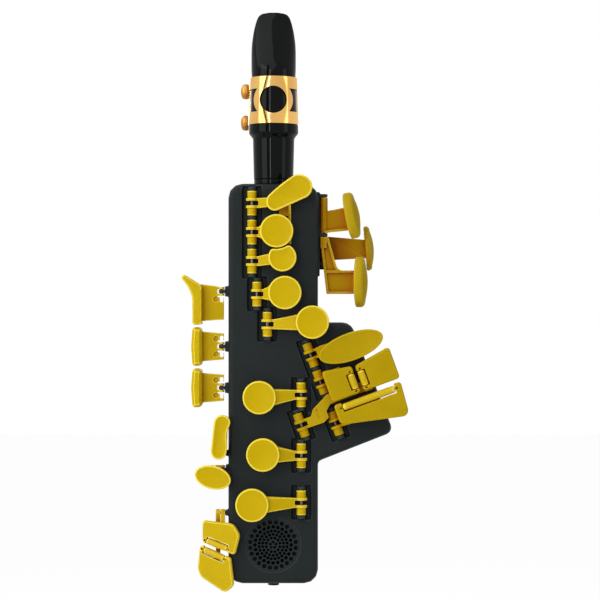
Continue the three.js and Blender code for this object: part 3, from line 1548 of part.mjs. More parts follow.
const lowBFlatTopY = lowBFlatTop - lowBFlatHingeY;
const lowBFlatRollerX = lowSharpStart + lowBFlatRollerStart + lowBFlatRollerLength / 2;
const lowBFlatRollerY = lowBFlatTopY - lowBFlatRollerDrop;
function lowBFlatKey() {
  const end = lowSharpStart + lowBFlatWidth;
  const touch = plate([
    [lowSharpStart, lowBFlatInnerBottom - lowBFlatHingeY, 2 * plateCornerRadius],
    [end - plateCornerRadius, lowBFlatOuterBottom - lowBFlatHingeY, 2 * plateCornerRadius],
    [end, lowBFlatTopY, plateCornerRadius],
    [lowSharpStart, lowBFlatTopY, plateCornerRadius],
  ]);
  const space = rollerSpace('x', lowBFlatRollerLength, 0, 2 * lowBFlatRollerDrop)
    .translate(lowBFlatRollerX, lowBFlatRollerY, 0);
  return cut(forkedKey(plateArm(armRiseEnd + 3 * armThickness, 0, armNeckWidth), touch), space);
}

// Palm keys: flat webs that swing on stub pins, with crowned pads that face outward.
// These and the side, edge and little-finger keys are drawn upright, relative to their hinges.
function palmPad(length, width, angle, turn) {
  const outline = ellipse(0, 0, padDepth / 2, length / 2);
  return touchPad(outline, 0, width - padCrown, touchRim, padCrown)
    .rotateY(quarterTurn - turn).rotateZ(angle);
}

function palmHinge(low, high, hingeMiddle, boreLow, boreHigh) {
  const barrel = bar('y', sideBarrelRadius, low - hingeMiddle, high - hingeMiddle);
  const boreRadius = sidePinRadius + boreClearance;
  const bores = [[low - overrun, low + boreLow], [high - boreHigh, high + overrun]]
    .map(([from, to]) => bar('y', boreRadius, from - hingeMiddle, to - hingeMiddle, boreSteps));
  return { barrel, bores };
}

const stubBore = sidePinLength + clearance;
const palmDMiddle = (palmDLow + palmDHigh) / 2;
function palmDKey() {
  const { barrel, bores } = palmHinge(palmDLow, palmDHigh, palmDMiddle, stubBore, stubBore);
  const low = palmDLow - palmDMiddle;
  const padX = palmDWebReach - palmAxisReach;
  const web = slab(polygon([
    [0, low],
    [padX + seat, low + ribThickness],
    [padX - seat, palmDWebTop - palmDMiddle],
    [sideBarrelRadius, palmDWebStep - palmDMiddle],
    [0, palmDWebStep - palmDMiddle],
  ]), -webThickness / 2, webThickness / 2);
  const rib = slab(polygon([
    [0, low],
    [padX + seat, low + ribThickness],
    [padX + seat, low + 2 * ribThickness],
    [0, low + ribThickness],
  ]), -webThickness / 2, ribHeight - webThickness / 2);
  const pad = palmPad(palmDPadLength, palmDPadWidth, degrees(palmDPadAngle), degrees(palmPadTurn))
    .translate(padX, palmDPadHeight - palmDMiddle, palmFrontPadDepth - palmFrontAxis);
  return cut(join(barrel, web, rib, pad), ...bores);
}

const palmEMiddle = (palmELow + palmEHigh) / 2;
function palmEFlatKey() {
  const { barrel, bores } = palmHinge(palmELow, palmEHigh, palmEMiddle, stubBore, stubBore);
  const half = (palmEHigh - palmELow) / 2;
  const padX = palmEWebReach;
  const web = slab(polygon([
    [0, -half],
    [padX, -half + ribThickness],
    [padX, half - ribThickness],
    [sideBarrelRadius, half],
    [0, half],
  ]), -webThickness / 2, webThickness / 2);
  const pad = palmPad(palmEPadLength, palmEPadWidth, degrees(palmEPadAngle), 0)
    .translate(padX - seat, palmEPadHeight - palmEMiddle, palmRearPadDepth - palmRearAxis);
  return cut(join(barrel, web, pad), ...bores);
}

// The palm F key: a block on the hinge, a leg down from it and a recessed panel out to the pad
const palmFMiddle = (palmFHingeLow + palmFHingeHigh) / 2;
function palmFKey() {
  const { barrel, bores } = palmHinge(palmFHingeLow, palmFHingeHigh, palmFMiddle, 0, palmLongPin + clearance);
  const hingeHalf = (palmFHingeHigh - palmFHingeLow) / 2;
  const head = block(-sideBarrelRadius, ribThickness, -hingeHalf, hingeHalf, 0, ribHeight - ribThickness / 2);
  const padX = palmFPanelReach - ribThickness;
  const panelLow = palmFPanelLow - palmFMiddle;
  const panelHigh = palmFPanelHigh - palmFMiddle;
  const corners = [
    [-sideBarrelRadius + seat, -hingeHalf, 0],
    [ribThickness, panelLow, 0],
    [padX, panelLow, 0],
    [padX, panelHigh, 0],
    [2 * sideBarrelRadius + ribHeight, panelHigh, ribHeight],
    [ribThickness + sideBarrelRadius / 2, hingeHalf, 0],
    [-sideBarrelRadius + seat, hingeHalf, 0],
  ];
  const web = slab(rounded(corners), -webThickness / 2, ribHeight - webThickness / 2);
  const recessed = slab(rounded(drawnIn(corners, ribThickness)), webThickness / 2, ribHeight);
  const shelf = block(ribThickness / 2, padX, panelHigh - ribThickness, panelHigh,
    webThickness / 2 - seat / 2, ribHeight - webThickness / 2);
  const pad = palmPad(palmFPadLength, palmFPadWidth, 0, degrees(palmPadTurn))
    .translate(padX, palmFPadHeight - palmFMiddle, palmFrontPadDepth - palmFrontAxis);
  return cut(join(cut(web, recessed), barrel, head, shelf, pad), ...bores);
}

// Side keys: a fork on a post, a trapezoid web and a long pad
function sideFork(...pieces) {
  const notchEnd = forkRadius + 2 * boreClearance;
  const near = tongueThickness / 2 + clearance;
  const notch = block(-notchEnd, sideWebEnd, -forkRelief, forkRelief, -padDepth, padDepth);
  const prongs = [-1, 1].flatMap((hand) => {
    const low = Math.min(hand * near, hand * (near + forkThickness));
    return [
      bar('y', forkRadius, low, low + forkThickness),
      block(-notchEnd - seat, 0, low, low + forkThickness, -tongueThickness / 2, tongueThickness / 2),
    ];
  });
  const bore = bar('y', sidePinRadius + boreClearance, -sidePostHeight, sidePostHeight, boreSteps);
  return cut(join(cut(join(...pieces), notch), ...prongs), bore);
}

function sideDimple(hand) {
  return bar('z', sideDimpleRadius, tongueThickness / 2 - sideDimpleDepth, padDepth)
    .translate(sideAxisReach - sideDimpleReach - sideDimpleRadius, hand * sideDimpleOffset, 0);
}

const sideWebFrom = sideAxisReach - sideWebStart;
const sideWebTo = sideAxisReach - sideWebEnd;
const sidePadFrom = sideAxisReach - sidePadStart;
function sideKey() {
  const web = slab(polygon([
    [sideWebFrom, -sideWebNarrow / 2],
    [sideWebFrom, sideWebNarrow / 2],
    [sideWebTo, sideWebWide / 2],
    [sideWebTo, -sideWebWide / 2],
  ]), -tongueThickness / 2, tongueThickness / 2);
  const outer = sidePadFrom - sidePadWidth;
  const half = sidePadHeight / 2;
  const pad = slab(rounded([
    [sidePadFrom, half - seat, 2 * touchRim],
    [outer + touchRim, half, 2 * touchRim],
    [outer, 0, half],
    [outer + touchRim, -half, 2 * touchRim],
    [sidePadFrom, -half + seat, 2 * touchRim],
  ]), -padDepth / 2, padDepth / 2, padEdge);
  return cut(sideFork(web, pad), sideDimple(1), sideDimple(-1));
}

function sideEKey() {
  const web = slab(polygon([
    [sideWebFrom, -sideEWebBottom + touchRim],
    [sideWebFrom, sideEWebTop - touchRim],
    [sideWebTo, sideEWebTop + touchRim],
    [sideWebTo, -sideEWebBottom],
  ]), -tongueThickness / 2, tongueThickness / 2);
  const outer = sidePadFrom - sidePadWidth + touchRim;
  const tip = sideAxisReach - sideEFlareReach;
  const pad = slab(rounded([
    [sidePadFrom, -sideEPadBottom, touchRim],
    [sidePadFrom, sideEWebTop, 2 * forkRadius],
    [tip + 2 * touchRim, sideEFlareTop, touchRim],
    [tip, sideEFlareTop - 2 * touchRim, touchRim],
    [outer, -touchRim, 4 * sideAxisReach],
    [outer, -sideEPadBottom, touchRim],
  ]), -padDepth / 2, padDepth / 2, touchRim - seat / 2);
  return cut(sideFork(web, pad), sideDimple(-1));
}

// Edge touches: both stand above the face on legs that reach down past the side of the housing
const edgeTouchLow = frontDepth + edgeTouchUnderside;
const edgeTouchHigh = edgeTouchLow + edgeTouchThickness;
const hubMiddle = -side - crossPostReach - clearance - hubLength / 2;
function highFSharpKey() {
  const upper = [beanUpperInset, beanUpperHeight - beanHingeHeight];
  const lower = [beanLowerInset, beanLowerHeight - beanHingeHeight];
  const outline = lobe(-lower[0], lower[1], beanLobeRadius - seat / 2, -upper[0], upper[1], beanLobeRadius);
  const hollow = new THREE.Vector2(beanHollowReach, (upper[1] + lower[1]) / 2);
  const hollowRadius = beanHollowReach + beanLowerInset - beanLobeRadius + beanHollow;
  const bean = outline.map((place) => {
    const away = place.clone().sub(hollow);
    const distance = away.length();
    const kept = (distance + hollowRadius + Math.hypot(distance - hollowRadius, beanHollow)) / 2;
    return away.setLength(kept).add(hollow);
  });
  const touch = touchPad(bean, edgeTouchLow - beanAxisDepth, edgeTouchHigh - beanAxisDepth)
    .translate(-side - hubMiddle, 0, 0);
  const legTop = edgeTouchLow - beanAxisDepth + seat;
  const leg = endSlab(polygon([
    [0, -hubRadius],
    [legTop, -hubRadius / 2],
    [legTop, beanLegWidth],
    [0, hubRadius],
  ]), -hubLength / 2, hubLength / 2);
  const hub = bar('x', hubRadius, -hubLength / 2, hubLength / 2);
  const bore = bar('x', sidePinRadius + boreClearance, -hubLength, hubLength, boreSteps);
  return cut(join(touch, leg, hub), bore);
}

function sideFSharpKey() {
  const axisX = -side - ovalAxisReach;
  const touch = touchPad(ellipse(-side - ovalReach - axisX, ovalHeight - ovalHingeHeight, ovalHalfLength,
    ovalHalfWidth, -degrees(ovalAngle)), edgeTouchLow - ovalAxisDepth, edgeTouchHigh - ovalAxisDepth);
  const legFar = -2 * forkRelief;
  const legNear = -forkRelief;
  const half = tongueThickness / 2 + clearance + forkThickness;
  const web = block(legFar, legNear + seat, -half, half, -tongueThickness / 2, tongueThickness / 2);
  const leg = block(legFar, legNear, -half, half, -tongueThickness / 2, edgeTouchLow - ovalAxisDepth + seat);
  const near = tongueThickness / 2 + clearance;
  const prongs = [-1, 1].flatMap((hand) => {
    const low = Math.min(hand * near, hand * (near + forkThickness));
    return [
      bar('y', forkRadius, low, low + forkThickness),
      block(legNear - seat, 0, low, low + forkThickness, -tongueThickness / 2, tongueThickness / 2),
    ];
  });
  const bore = bar('y', sidePinRadius + boreClearance, -sidePostHeight, sidePostHeight, boreSteps);
  return cut(join(touch, web, leg, ...prongs), bore);
}

// Right little-finger keys: tilted plates on a shared stub pin,
// each with a roller along the edge between them
const littleTurn = degrees(littleTilt);
const eFlatCornerShares = [[0, 0.331], [0.86, 0], [1, 0.605], [0.824, 0.93], [0, 1]];
const lowCCornerShares = [[0.07, 1], [0, 0.48], [0.09, 0.313], [0.766, 0], [1, 0.168], [0.912, 0.741]];

// Places on the tilted plane are given by how far right and up they are as seen from the front
function onLittlePlane(x, y) {
  return new THREE.Vector2((x - littleRight) / Math.cos(littleTurn), y - littleAxisHeight);
}

function tilted(geometry, hubX) {
  return geometry.rotateY(-littleTurn)
    .translate(littleRight - hubX, 0, frontDepth + littleRise - littleAxisDepth);
}

function littlePlate(shares, radii, left, low, width, height) {
  const corners = shares.map(([across, up], index) => {
    const place = onLittlePlane(left + width * across, low + height * up);
    return [place.x, place.y, radii[index]];
  });
  return slab(rounded(corners), -littlePlateThickness, 0, plateEdge);
}

function littleRollerPlace(x, y, slope) {
  const centre = onLittlePlane(x, y);
  return { centre, slope: degrees(slope) };
}
const eFlatRollerPlace = littleRollerPlace(eFlatRollerX, eFlatRollerY, eFlatRollerSlope);
const lowCRollerPlace = littleRollerPlace(lowCRollerX, lowCRollerY, lowCRollerSlope);
const littleRollerDepth = rollerProud - littleRollerRadius;

function littleSpace({ centre, slope }, openY) {
  return rollerSpace('x', littleRollerLength, 0, openY, littleRollerDepth, littleRollerRadius)
    .rotateZ(slope).translate(centre.x, centre.y, 0);
}

function littleKey(plateAndRoller, hubX, ...legs) {
  const hub = bar('x', hubRadius, -hubLength / 2, hubLength / 2);
  const bore = bar('x', sidePinRadius + boreClearance, -hubLength, hubLength, boreSteps);
  return cut(join(tilted(plateAndRoller, hubX), hub, ...legs), bore);
}

const eFlatHubX = hubMiddle;
const lowCHubX = hubMiddle - hubLength - clearance;
function lowEFlatKey() {
  const radii = [plateCornerRadius, plateCornerRadius, littleCornerRadius, littleCornerRadius,
    plateCornerRadius];
  const body = cut(littlePlate(eFlatCornerShares, radii, eFlatLeft, eFlatLow, eFlatWidth, eFlatHeight),
    littleSpace(eFlatRollerPlace, -2 * littleRollerRadius));
  const leg = endSlab(lobe(0, 0, hubRadius, eFlatLegRise, -eFlatLegReach, legRadius),
    -hubLength / 2, hubLength / 2);
  return littleKey(body, eFlatHubX, leg);
}

function lowCKey() {
  const radii = [plateCornerRadius, littleCornerRadius, littleCornerRadius, 2 * plateCornerRadius,
    2 * plateCornerRadius, plateCornerRadius];
  const body = cut(littlePlate(lowCCornerShares, radii, lowCLeft, lowCLow, lowCWidth, lowCHeight),
    littleSpace(lowCRollerPlace, 2 * littleRollerRadius));
  const legs = [
    lobe(0, 0, hubRadius, -lowCLegDrop, -lowCLegBend, legRadius - seat),
    lobe(-lowCLegDrop, -lowCLegBend, legRadius - seat, lowCLegRise, -lowCLegReach, legRadius),
  ].map((outline) => endSlab(outline, -hubLength / 2, hubLength / 2));
  return littleKey(body, lowCHubX, ...legs);
}

// Assembly. A hinged piece stands in a group whose y axis is its hinge; a positive turn presses it.
function hinged(name, geometry, material, x, y, z, turn, ...children) {
  const group = placed(nodeOf(name, geometry.rotateZ(-turn), material), x, y, z, turn);
  children.forEach((child) => group.add(child));
  return group;
}

function onRow(name, geometry, rowName, index, ...children) {
  const row = hingeRows.find(({ rod }) => rod === rowName);
  const along = ((row.barrels - 1) / 2 - index) * barrelPitch;
  const place = new THREE.Vector2(0, along).rotateAround(new THREE.Vector2(), row.turn);
  const facing = row.x > 0 && row.turn === 0 ? halfTurn : row.turn;
  const group = placed(nodeOf(name, geometry, keyPlastic), row.x + place.x, row.y + place.y,
    frontDepth + hingeHeight, facing);
  children.forEach((child) => group.add(child));
  return group;
}

function rollerOn(name, length, x, y, z, turn = 0, radius = rollerRadius) {
  return placed(nodeOf(name, roller(length, radius), keyPlastic), x, y, z, turn);
}

// A roller of a little-finger key stands on the tilted plane, in the key's own turned frame
function littleRollerOn(name, { centre, slope }, hubX) {
  const stand = new THREE.Group();
  stand.rotation.z = quarterTurn;
  const plane = new THREE.Group();
  plane.rotation.y = -littleTurn;
  plane.position.set(littleRight - hubX, 0, frontDepth + littleRise - littleAxisDepth);
  plane.add(rollerOn(name, littleRollerLength, centre.x, centre.y, littleRollerDepth, slope - quarterTurn,
    littleRollerRadius));
  stand.add(plane);
  return stand;
}

const frontKeys = [
  onRow('front_f_key', frontFKey(), 'upper_stack_rod', 0),
  onRow('b_key', roundKey(bReach, bRise), 'upper_stack_rod', 1),
  onRow('bis_key', bisKey(), 'upper_stack_rod', 2),
  onRow('a_key', roundKey(aReach, aRise), 'a_key_rod', 0),
  onRow('g_key', roundKey(gReach, gRise), 'g_key_rod', 0),
  onRow('f_key', roundKey(fReach, fDrop), 'f_key_rod', 0),
  onRow('e_key', roundKey(eReach, -eRise), 'e_key_rod', 0),
  onRow('d_key', roundKey(dReach, dDrop), 'd_key_rod', 0),
];

const tableKeys = [
  onRow('g_sharp_key', gSharpKey(), 'table_upper_rod', 0),
  onRow('low_c_sharp_key', lowCSharpKey(), 'table_upper_rod', 1,
    rollerOn('low_c_sharp_roller', rollerLength, lowSharpRollerX, lowSharpRollerY, rollerHeight)),
  onRow('low_b_key', lowBKey(), 'low_b_rod', 0,
    rollerOn('low_b_roller', rollerLength, lowBRollerX, lowBRollerY, rollerHeight)),
  onRow('low_b_flat_key', lowBFlatKey(), 'low_b_flat_rod', 0,
    rollerOn('low_b_flat_roller', lowBFlatRollerLength, lowBFlatRollerX, lowBFlatRollerY, rollerHeight,
      quarterTurn)),
];

const sideAxisX = -side - sideAxisReach;
const edgeKeys = [
  hinged('palm_d_key', palmDKey(), keyPlastic, palmX, palmDMiddle, palmFrontAxis, 0),
  hinged('palm_e_flat_key', palmEFlatKey(), keyPlastic, palmX, palmEMiddle, palmRearAxis, 0),
  hinged('palm_f_key', palmFKey(), keyPlastic, palmX, palmFMiddle, palmFrontAxis, 0),
  hinged('side_e_key', sideEKey(), keyPlastic, sideAxisX, sideEHeight, sideAxisDepth, halfTurn),
  hinged('side_c_key', sideKey(), keyPlastic, sideAxisX, sideCHeight, sideAxisDepth, halfTurn),
  hinged('side_b_flat_key', sideKey(), keyPlastic, sideAxisX, sideBFlatHeight, sideAxisDepth, halfTurn),
  hinged('high_f_sharp_key', highFSharpKey(), keyPlastic, hubMiddle, beanHingeHeight, beanAxisDepth,
    quarterTurn),
  hinged('side_f_sharp_key', sideFSharpKey(), keyPlastic, -side - ovalAxisReach, ovalHingeHeight,
    ovalAxisDepth, halfTurn),
  hinged('low_e_flat_key', lowEFlatKey(), keyPlastic, eFlatHubX, littleAxisHeight, littleAxisDepth,
    -quarterTurn, littleRollerOn('low_e_flat_roller', eFlatRollerPlace, eFlatHubX)),
  hinged('low_c_key', lowCKey(), keyPlastic, lowCHubX, littleAxisHeight, littleAxisDepth,
    -quarterTurn, littleRollerOn('low_c_roller', lowCRollerPlace, lowCHubX)),
];

const mouthGroup = new THREE.Group();
mouthGroup.position.y = mouthFoot;
mouthGroup.add(
  nodeOf('mouthpiece', mouthpiece().translate(0, -mouthFoot, 0), ebonite),
  nodeOf('reed', reed().translate(0, -mouthFoot, 0), cane),
  nodeOf('ligature', ligature().translate(0, -mouthFoot, 0), gold),
  ...['ligature_screw_upper', 'ligature_screw_lower'].map((name, index) => hinged(name, ligatureScrew(), gold,
    0, ligatureScrewHeights[index] - mouthFoot, -lugDepth, quarterTurn)),
);

const octaveGroup = new THREE.Group();
octaveGroup.position.set(0, octaveHingeHeight, octaveAxisDepth);
octaveGroup.rotation.set(0, halfTurn, -quarterTurn);
octaveGroup.add(nodeOf('octave_key', octaveKey().rotateY(-halfTurn).rotateZ(quarterTurn), keyPlastic));

const instrument = new THREE.Group();
instrument.add(
  nodeOf('front_housing', frontHousing(), casePlastic),
  nodeOf('rear_housing', rearHousing(), casePlastic),
  nodeOf('speaker_grille', speakerGrille(), casePlastic),
  nodeOf('neck_socket', neckSocket(), ebonite),
  nodeOf('neck_cork', neckCork(), cork),
  nodeOf('drain_plug', drainPlug().translate(0, 0, hoseAxis), rubber),
  nodeOf('main_board', mainBoard(), board),
  nodeOf('battery', battery(), foil),
  nodeOf('speaker', speaker(), rubber),
  nodeOf('breath_sensor', breathSensor(), rubber),
  nodeOf('air_hose', airHose(), rubber),
  nodeOf('usb_socket', chargingSocket(), steel),
  nodeOf('strap_ring', strapRing(), steel),
  nodeOf('thumb_rest', thumbRest(), rubber),
  nodeOf('thumb_hook', thumbHook(), casePlastic),
  placed(nodeOf('thumb_hook_screw', thumbHookScrew(), steel), 0, thumbHookHeight + hookScrewRise, 0),
  placed(nodeOf('power_button', powerButton(), rubber), powerButtonX, powerButtonHeight, 0),
  nodeOf('octave_rod', bar('x', rodRadius, -octaveRodHalf, octaveRodHalf, rodSteps)
    .translate(0, octaveHingeHeight, octaveAxisDepth), steel),
  ...hingeRows.map(rowRod),
  ...frontKeys,
  ...tableKeys,
  ...edgeKeys,
  mouthGroup,
  octaveGroup,
);
instrument.rotation.x = quarterTurn;
instrument.position.set(0, strapRingDepth, -strapRingHeight);

const part = new THREE.Group();
part.name = 'digital_wind_controller';
part.add(instrument);

export default part;
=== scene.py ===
import json
import math

import bmesh
import bpy
import numpy
from mathutils import Matrix, Vector


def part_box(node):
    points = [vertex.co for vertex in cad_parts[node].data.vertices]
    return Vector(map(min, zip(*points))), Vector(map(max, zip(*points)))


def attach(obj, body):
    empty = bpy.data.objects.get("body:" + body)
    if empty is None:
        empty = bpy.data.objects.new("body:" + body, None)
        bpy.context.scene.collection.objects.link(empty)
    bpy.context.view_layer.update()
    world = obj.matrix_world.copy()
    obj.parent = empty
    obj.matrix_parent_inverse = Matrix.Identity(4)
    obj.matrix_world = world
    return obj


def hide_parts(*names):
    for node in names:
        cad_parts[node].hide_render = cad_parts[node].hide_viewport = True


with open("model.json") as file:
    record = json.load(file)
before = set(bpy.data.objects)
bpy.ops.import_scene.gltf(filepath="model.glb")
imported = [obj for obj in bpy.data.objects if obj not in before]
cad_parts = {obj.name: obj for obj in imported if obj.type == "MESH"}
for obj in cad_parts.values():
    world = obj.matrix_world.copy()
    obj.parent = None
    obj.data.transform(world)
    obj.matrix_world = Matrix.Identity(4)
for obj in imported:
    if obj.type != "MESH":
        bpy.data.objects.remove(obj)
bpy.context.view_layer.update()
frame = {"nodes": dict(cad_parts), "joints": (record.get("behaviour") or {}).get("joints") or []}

bl_info = {
    "name": "Wind controller dressing",
    "version": (1, 0, 0),
    "blender": (4, 5, 0),
    "location": "3D Viewport > Sidebar > Wind controller",
    "description": "Builds the moulded, turned and polished pieces of a wind controller round its CAD frame",
    "category": "Object",
}

JOINTS = {joint["name"]: joint for joint in frame["joints"]}
# Vertex mask of rounded outer edges, where the finishes paint a highlight (and rubbed wear on the case)
EDGE_MASK = "edge_mask"
EDGE_RADIUS = 0.0028

# The CAD drawing frame, in millimetres: x right, y up from the foot, z out of the key side.
# Places and sizes of the pieces are given in it, and a profile is a row of (radius, height) round an axis.
MM = 0.001
DRAWING_DEPTH = -21.925
DRAWING_HEIGHT = -132.0
DRAWING = Matrix(((MM, 0, 0, 0), (0, 0, -MM, DRAWING_DEPTH * MM), (0, MM, 0, DRAWING_HEIGHT * MM),
                  (0, 0, 0, 1)))


# ---- Sizes and colours that a user may change ----

def linear(code):
    """A colour code as the linear numbers that Blender keeps."""
    parts = [int(code[place:place + 2], 16) / 255 for place in (0, 2, 4)]
    return tuple(part / 12.92 if part <= 0.04045 else ((part + 0.055) / 1.055) ** 2.4 for part in parts)


def length(name, description, default):
    return bpy.props.FloatProperty(name=name, description=description, default=default, min=0.00001, max=0.5,
                                   precision=5, subtype="DISTANCE", unit="LENGTH")


def colour(name, description, code):
    return bpy.props.FloatVectorProperty(name=name, description=description, default=linear(code), size=3,
                                         min=0, max=1, subtype="COLOR")


class ControllerSizes(bpy.types.PropertyGroup):
    """Sizes of the detail that the dressing adds."""

    key_grid: length("Key grid", "Size of the grid that the moulded keys are skinned on", 0.0002)
    plate_grid: length("Plate grid", "Size of the grid that the plates and side keys are skinned on", 0.00018)
    case_grid: length("Case grid", "Size of the grid that the case halves are skinned on", 0.00036)
    touch_dish: length("Touch dish", "Depth of the dish in the finger touches", 0.00055)
    touch_lip: length("Touch lip", "How far the lip round a touch stands above its dish", 0.0002)
    touch_rim: length("Touch rim", "Radius of the rim round the finger touches", 0.0007)
    roller_bulge: length("Roller bulge", "How much thicker a roller is in its middle", 0.00012)
    screw_radius: length("Case screw radius", "Radius of the heads of the case screws", 0.0025)
    knob_ridges: bpy.props.IntProperty(name="Knob ridges", description="Ridges round each ligature knob",
                                       default=34, min=6, max=60)
    lens: bpy.props.FloatProperty(name="Lens", description="Focal length of the camera in millimetres",
                                  default=112.5, min=20, max=300)


class ControllerColours(bpy.types.PropertyGroup):
    """Colours of the finishes and strength of the lamps."""

    key: colour("Key plastic", "Colour of the moulded keys", "bda004")
    # A darker, shaded copy of the key plastic, as painted shade on the little-finger table and the palm keys
    plate: colour("Plate plastic", "Colour of the little-finger table and the palm keys", "a98d02")
    # Painted shade: the orange laid on the webs under the palm touches, where light falls less
    palm_web_shade: colour("Palm webs", "Colour of the webs under the palm touches", "a35a00")
    # Painted highlight: the lighter colour laid on the keys' rounded edges
    key_rim: colour("Key rims", "Colour of the keys where their edges thin out", "ecd548")
    # Painted shade: the colour laid in the keys' hollows, where ambient occlusion finds them
    key_hollow: colour("Key hollows", "Colour of the keys deep between their webs", "b06200")
    case: colour("Case plastic", "Colour of the case", "191f1f")
    # Partly rubbed wear and partly painted highlight along the case's edges
    case_edge_wear_and_highlight: colour("Case edges", "Colour of the rubbed edges of the case", "343c3d")
    ebonite: colour("Mouthpiece", "Colour of the polished mouthpiece", "050808")
    gold: colour("Ligature", "Colour of the polished ligature", "e9b96c")
    knob: colour("Ligature screws", "Colour of the ribbed knobs", "b98842")
    steel: colour("Steel", "Colour of the ring and the screws", "9fa4a9")
    # Painted shade: the rods are darkened and browned where they sit in the key forks
    rod: colour("Rod steel", "Colour of the oiled hinge rods", "6b5f50")
    lamp: bpy.props.FloatProperty(name="Lamps", description="Scales the power of every lamp", default=1.0,
                                  min=0, max=10)


def sizes():
    return bpy.context.scene.controller_sizes


def colours():
    return bpy.context.scene.controller_colours


# ---- Finishes ----

# Widths of the marks on the surfaces and depths of their relief, in metres
FLOW_MARKS, HANDLING_MARKS, SPARK_GRAIN = 0.014, 0.005, 0.0004
TARNISH_MARKS, WIPE_MARKS = 0.02, 0.006
# HOLLOW_REACH is how far ambient occlusion looks when it lays the painted shade in hollows
HOLLOW_REACH = 0.02
MOULDED_RELIEF, METAL_RELIEF, FIBRE_RELIEF = 0.00004, 0.00002, 0.0001
FINISHES = {}


def feed(tree, node, inputs):
    """Sets a node's inputs, by socket name or number, to values or to other nodes' outputs."""
    for socket, value in inputs.items():
        if isinstance(value, bpy.types.NodeSocket):
            tree.links.new(value, node.inputs[socket])
        else:
            node.inputs[socket].default_value = value


def put(tree, kind, inputs, **settings):
    """Adds a node and gives its outputs."""
    node = tree.nodes.new(kind)
    for name, value in settings.items():
        setattr(node, name, value)
    feed(tree, node, inputs)
    return node.outputs


def computed(tree, operation, one, two):
    return put(tree, "ShaderNodeMath", {0: one, 1: two}, operation=operation)[0]


def mixed(tree, share, low, high):
    """A colour between two, by a share."""
    return put(tree, "ShaderNodeMix", {0: share, 6: low, 7: high}, data_type="RGBA")[2]


def ranged(tree, value, low, high, to_low, to_high):
    return put(tree, "ShaderNodeMapRange", {0: value, 1: low, 2: high, 3: to_low, 4: to_high})[0]


def object_place(tree):
    return put(tree, "ShaderNodeTexCoord", {})["Object"]


def mapped(tree, inputs):
    """The piece's own coordinates, stretched or turned."""
    return put(tree, "ShaderNodeMapping", {"Vector": object_place(tree), **inputs})[0]


def grain(tree, place, width, detail=2.0, roughness=0.5):
    """Noise whose features are about this many metres across."""
    return put(tree, "ShaderNodeTexNoise", {"Vector": place, "Scale": 1 / width, "Detail": detail,
                                            "Roughness": roughness})[0]


def effect(name, inputs):
    """An empty shader node group with these inputs, and a colour, a roughness and a height to give out."""
    tree = bpy.data.node_groups.new(name, "ShaderNodeTree")
    for label, value in inputs.items():
        kind = "NodeSocketColor" if isinstance(value, tuple) else "NodeSocketFloat"
        tree.interface.new_socket(name=label, in_out="INPUT", socket_type=kind).default_value = value
    for label, kind in (("Colour", "NodeSocketColor"), ("Roughness", "NodeSocketFloat"),
                        ("Height", "NodeSocketFloat")):
        tree.interface.new_socket(name=label, in_out="OUTPUT", socket_type=kind)
    return tree, tree.nodes.new("NodeGroupInput").outputs, tree.nodes.new("NodeGroupOutput")


def moulding_effect():
    """Moulded plastic: faint flow mottle, a fine spark-eroded grain, a painted highlight on rounded edges
    (rubbed wear too on the case) and painted shade in the hollows that ambient occlusion finds.
    """
    tree, given, result = effect("moulded_surface", {
        "Colour": (0.5, 0.5, 0.5, 1), "Edge Colour": (0.6, 0.6, 0.6, 1), "Hollow Colour": (0.4, 0.4, 0.4, 1),
        "Roughness": 0.4, "Mottle": 0.06, "Edge Amount": 0.5, "Hollow Amount": 0.5, "Hollow Start": 0.8,
        "Hollow Full": 0.3})
    place = object_place(tree)
    flow = ranged(tree, grain(tree, place, FLOW_MARKS, 3.0), 0.3, 0.7, -0.5, 0.5)
    value = computed(tree, "ADD", computed(tree, "MULTIPLY", flow, given["Mottle"]), 1.0)
    shade = put(tree, "ShaderNodeHueSaturation", {"Value": value, "Color": given["Colour"]})[0]
    # Painted highlight on rounded edges, and rubbed wear as well on the case
    edge_highlight_and_wear = put(tree, "ShaderNodeAttribute", {}, attribute_name=EDGE_MASK)["Fac"]
    edge = computed(tree, "MULTIPLY", ranged(tree, edge_highlight_and_wear, 0.25, 1.0, 0.0, 1.0), given["Edge Amount"])
    # Painted shade: ambient occlusion darkens the hollows towards the hollow colour
    open_sky = put(tree, "ShaderNodeAmbientOcclusion", {"Distance": HOLLOW_REACH}, samples=8)["AO"]
    depth = ranged(tree, open_sky, given["Hollow Start"], given["Hollow Full"], 0.0, 1.0)
    hollow_shade = computed(tree, "MULTIPLY", depth, given["Hollow Amount"])
    lit = mixed(tree, edge, shade, given["Edge Colour"])
    rubbed = ranged(tree, grain(tree, place, HANDLING_MARKS, 4.0, 0.6), 0.35, 0.7, -0.05, 0.06)
    feed(tree, result, {"Colour": mixed(tree, hollow_shade, lit, given["Hollow Colour"]),
                        "Roughness": computed(tree, "ADD", given["Roughness"], rubbed),
                        "Height": grain(tree, place, SPARK_GRAIN)})


def polish_effect():
    """Polished or turned metal: soft wipe marks along the piece and a faint tarnish."""
    tree, given, result = effect("polished_metal", {
        "Colour": (0.8, 0.8, 0.8, 1), "Shadow Colour": (0.5, 0.4, 0.3, 1), "Roughness": 0.15, "Wipe": 0.05})
    wiped = grain(tree, mapped(tree, {"Scale": (1, 1, 12)}), WIPE_MARKS, 5.0, 0.65)
    tarnish = ranged(tree, grain(tree, object_place(tree), TARNISH_MARKS), 0.45, 0.75, 0.0, 0.35)
    change = computed(tree, "MULTIPLY", ranged(tree, wiped, 0.3, 0.7, -1.0, 1.0), given["Wipe"])
    feed(tree, result, {"Colour": mixed(tree, tarnish, given["Colour"], given["Shadow Colour"]),
                        "Roughness": computed(tree, "ADD", given["Roughness"], change), "Height": wiped})


def opaque(values):
    return (*values, 1.0)


